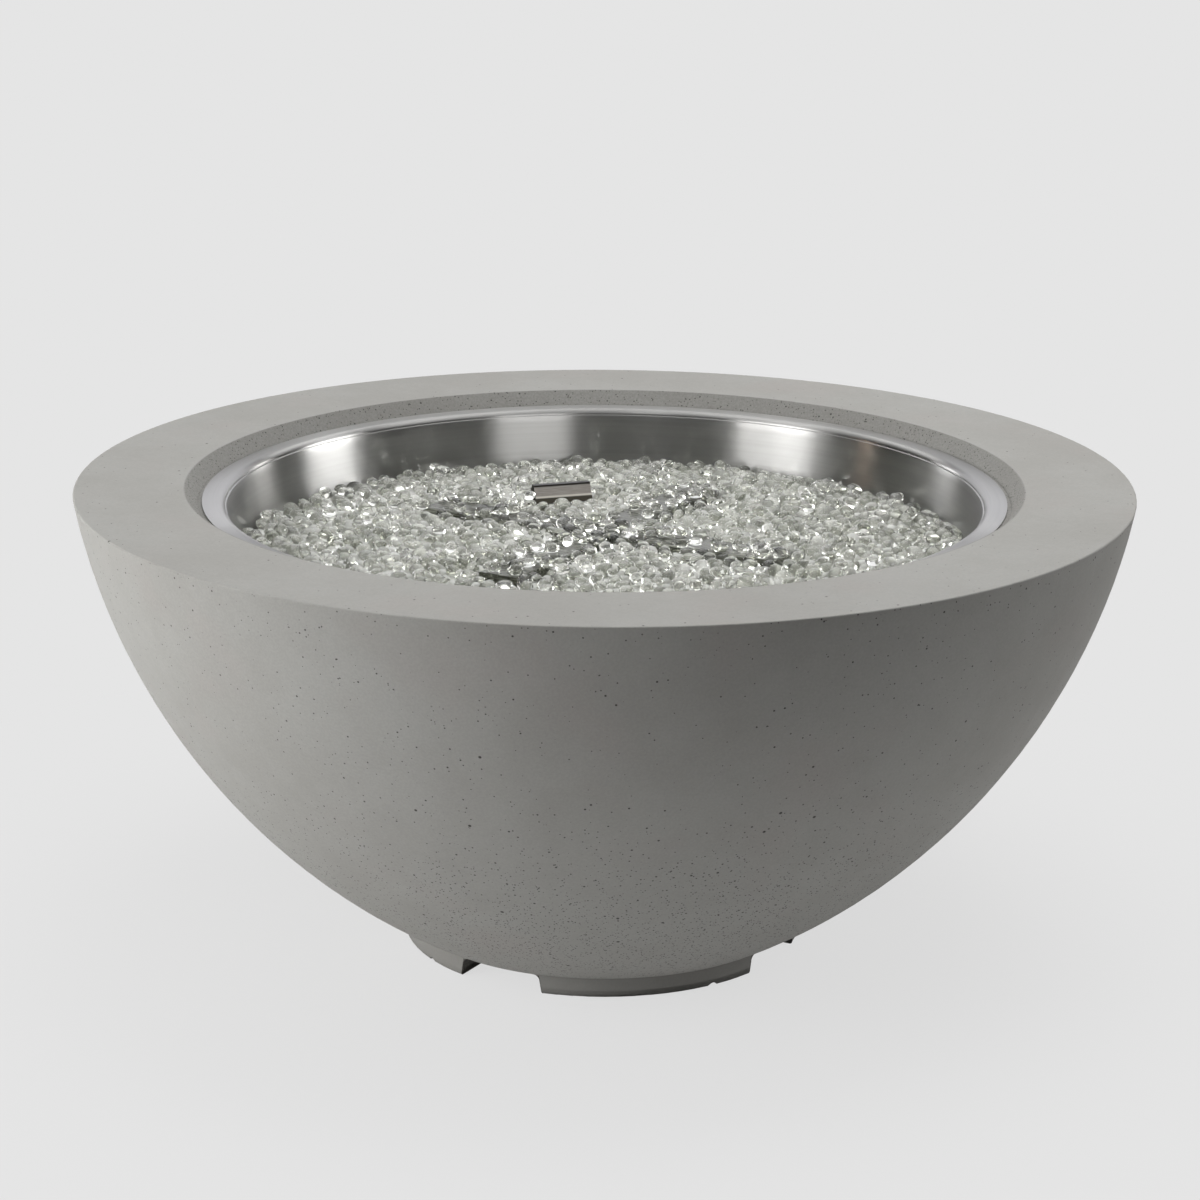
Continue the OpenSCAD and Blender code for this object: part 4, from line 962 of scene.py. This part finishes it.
# Reflector cards: name, colour they glow in, first and last direction, low and high edge, distance.
CARDS = (
    ("left_card", (7.1, 7.1, 7.1), 226, 240, 0.4, 2.0, 2.9),
    ("left_bright_card", (9.8, 9.8, 9.8), 240, 253.5, 0.4, 2.0, 2.9),
    ("left_edge_card", (1.9, 1.9, 1.9), 253.5, 260.5, 0.4, 2.0, 2.9),
    ("fill_card", (4.2, 4.2, 4.2), 142, 168, 0.6, 2.0, 2.9),
    ("strip_card", (11.4, 11.4, 11.4), 66, 87, 0.6, 2.0, 2.9),
    ("warm_card", (9.8, 7.4, 5.8), 276.2, 277.4, 0.3, 1.6, 2.9),
    ("left_grey_card", (8.0, 8.0, 8.1), 314, 327, 0.7, 1.35, 2.9),
    ("right_grey_card", (8.9, 8.8, 8.7), 34, 44.5, 0.7, 1.35, 2.9),
    ("back_card", (1.10, 1.10, 1.14), -29, 28, 0.6, 1.9, 3.1),
    ("back_high_card", (2.5, 2.5, 2.5), -34, 34, 2.3, 3.7, 3.1),
    ("ceiling_card", (2.6, 2.6, 2.6), -70, 70, 2.6, 6.6, 1.5),
    ("front_high_card", (4.2, 4.2, 4.2), 192, 212, 3.0, 4.4, 1.6),
)

# Lamps: name, power, direction, rise in degrees, distance, width and height.
LAMPS = (
    ("left_box", 41, 249, 12, 2.4, 1.5, 1.5),
    ("right_strip", 9.5, 83, 14, 2.4, 0.62, 1.4),
    ("top_box", 46, 50, 79, 2.4, 1.8, 1.8),
    ("floor_glow", 2.1, 0, -90, 0.355, 1.6, 1.6),
)


def make_world():
    """Pale grey backdrop to the eye, in metal and through glass, and a dim even light on the object."""
    world = bpy.data.worlds.new("studio")
    world.use_nodes = True
    tree = world.node_tree
    tree.nodes.clear()
    path = node(tree, "ShaderNodeLightPath").outputs
    room = node(tree, "ShaderNodeBackground", {"Color": (1.0, 1.0, 1.0, 1), "Strength": ROOM})
    backdrop = node(tree, "ShaderNodeBackground", {"Color": (PALE, PALE, PALE, 1), "Strength": 1.0})
    seen = calc(tree, "MAXIMUM", path["Is Camera Ray"], path["Is Glossy Ray"])
    seen = calc(tree, "MAXIMUM", seen, path["Is Transmission Ray"])
    mix = node(tree, "ShaderNodeMixShader", {0: seen, 1: room.outputs[0], 2: backdrop.outputs[0]})
    out = node(tree, "ShaderNodeOutputWorld", {"Surface": mix.outputs[0]})
    out.is_active_output = True
    bpy.context.scene.world = world


def stage_material(name):
    """An empty material for the stage."""
    material = bpy.data.materials.new(name)
    material.use_nodes = True
    material.node_tree.nodes.clear()
    return material, material.node_tree


def make_floor():
    """Round pale floor: a soft shadow near the bowl, the backdrop's plain grey further out, and clear
    from below."""
    material, tree = stage_material("pale_floor")
    place = node(tree, "ShaderNodeTexCoord").outputs["Object"]
    reach = node(tree, "ShaderNodeVectorMath", {0: place}, operation="LENGTH").outputs["Value"]
    plain = node(tree, "ShaderNodeEmission", {"Color": (PALE, PALE, PALE, 1), "Strength": 1.0})
    lit = node(tree, "ShaderNodeBsdfDiffuse", {"Color": (0.92, 0.92, 0.92, 1)})
    bounce = node(tree, "ShaderNodeBsdfDiffuse", {"Color": (0.55, 0.55, 0.55, 1)})
    away = ramp(tree, reach, 0.15, 1.0, 0.84, 1.0)
    near = node(tree, "ShaderNodeMixShader", {0: away, 1: lit.outputs[0], 2: plain.outputs[0]})
    seen = node(tree, "ShaderNodeLightPath").outputs["Is Camera Ray"]
    mix = node(tree, "ShaderNodeMixShader", {0: seen, 1: bounce.outputs[0], 2: near.outputs[0]})
    below = node(tree, "ShaderNodeNewGeometry").outputs["Backfacing"]
    clear = node(tree, "ShaderNodeBsdfTransparent")
    whole = node(tree, "ShaderNodeMixShader", {0: below, 1: mix.outputs[0], 2: clear.outputs[0]})
    node(tree, "ShaderNodeOutputMaterial", {"Surface": whole.outputs[0]})
    r = np.array([0.001, 0.3, 0.6, 1.0, 2.0, 4.0, 9.0])
    points = revolved(np.stack([r, 0 * r - 0.0002], -1), 96)
    faces = grid_faces(96, len(r), wrap_rows=True)[:, ::-1]
    floor = add_piece("floor", points, faces, material, None)


def make_card(name, level, start, stop, low, high, radius, through_glass=True):
    """Curved reflector card outside the picture, between two directions round the bowl as seen in the
    photograph, that only shiny surfaces and glass show: it glows at its level, or stays dark."""
    material, tree = stage_material(name)
    glow = node(tree, "ShaderNodeEmission", {"Color": (*level, 1), "Strength": 1.0})
    node(tree, "ShaderNodeOutputMaterial", {"Surface": glow.outputs[0]})
    p = np.radians(np.linspace(start, stop, CARD_STEPS))
    x, y = as_object(np.sin(p), np.cos(p)) * radius
    points = np.vstack([np.stack([x, y, np.full(CARD_STEPS, z)], -1) for z in (low, high)])
    card = add_piece(name, points, grid_faces(2, CARD_STEPS), material, None)
    card.visible_camera = False
    card.visible_diffuse = False
    card.visible_shadow = False
    card.visible_transmission = through_glass


def make_lamp(name, power, direction, rise, distance, width, height):
    """Soft box at a direction round the bowl as seen in the photograph and a rise above the place it
    faces; shiny surfaces show the cards in its stead."""
    data = bpy.data.lights.new(name, "AREA")
    data.shape = "RECTANGLE"
    data.size, data.size_y = width, height
    data.energy = power
    lamp = bpy.data.objects.new(name, data)
    p, e = math.radians(direction), math.radians(rise)
    x, y = as_object(math.sin(p), math.cos(p)) * math.cos(e) * distance
    aim = np.array([0, 0, LAMP_AIM_Z])
    lamp.location = (x, y, aim[2] + math.sin(e) * distance)
    back = np.array(lamp.location) - aim
    back /= np.linalg.norm(back)
    side = np.cross([0, 0, 1], back) if abs(back[2]) < 0.999 else np.array([1.0, 0, 0])
    side /= np.linalg.norm(side)
    turn = np.stack([side, np.cross(back, side), back], -1)
    lamp.matrix_world = Matrix([[*turn[k], lamp.location[k]] for k in range(3)] + [[0, 0, 0, 1]])
    lamp.visible_camera = False
    lamp.visible_glossy = False
    bpy.context.scene.collection.objects.link(lamp)


def make_camera():
    """Camera of the photograph: 100.2 mm lens on a 36 mm frame, 3.387 m from the rim's middle and 13.826
    degrees above it, turned so that the rim's middle falls on its place in the picture. The focal length
    and that place are in pixels of a picture 1200 wide."""
    focal, picture, frame_width = 3340.0, 1200, 36
    rim_x, rim_y = 604.75, 478.81
    reach, rise, roll = 3.387, math.radians(13.826), math.radians(-0.394)
    off_x, off_y = (rim_x - picture / 2) / focal, (rim_y - picture / 2) / focal
    level = np.array([
        [1, 0, 0],
        [0, math.sin(rise), math.cos(rise)],
        [0, math.cos(rise), -math.sin(rise)]])
    d = np.array([off_x, -off_y, 1.0])
    d /= np.linalg.norm(d)
    yaw, pitch = math.atan2(d[0], d[2]), math.asin(d[1])
    cy, sy, cp, sp, cr, sr = (f(v) for v in (yaw, pitch, roll) for f in (math.cos, math.sin))
    about_y = np.array([[cy, 0, sy], [0, 1, 0], [-sy, 0, cy]])
    about_x = np.array([[1, 0, 0], [0, cp, sp], [0, -sp, cp]])
    about_z = np.array([[cr, -sr, 0], [sr, cr, 0], [0, 0, 1]])
    rows = about_y @ about_x @ about_z @ level
    c, s = math.cos(VIEW_TURN), math.sin(VIEW_TURN)
    turn = np.array([[c, -s, 0], [s, c, 0], [0, 0, 1]])
    right, up, ahead = rows @ turn.T
    spot = turn @ np.array([0, -reach * math.cos(rise), reach * math.sin(rise)]) + [0, 0, RIM_Z]
    data = bpy.data.cameras.new("camera")
    data.sensor_width = frame_width
    data.sensor_fit = "HORIZONTAL"
    data.lens = focal * frame_width / picture
    data.clip_end = 100
    camera = bpy.data.objects.new("camera", data)
    place = [[right[k], up[k], -ahead[k], spot[k]] for k in range(3)]
    camera.matrix_world = Matrix(place + [[0, 0, 0, 1]])
    bpy.context.scene.collection.objects.link(camera)
    bpy.context.scene.camera = camera


make_world()
make_floor()
make_card("dark_ring", (0.02, 0.02, 0.02), 0, 360, 0.0, 3.5, 3.3, through_glass=False)
for card_row in CARDS:
    make_card(*card_row)
for lamp_row in LAMPS:
    make_lamp(*lamp_row)
make_camera()
bpy.context.scene.view_settings.view_transform = "Standard"
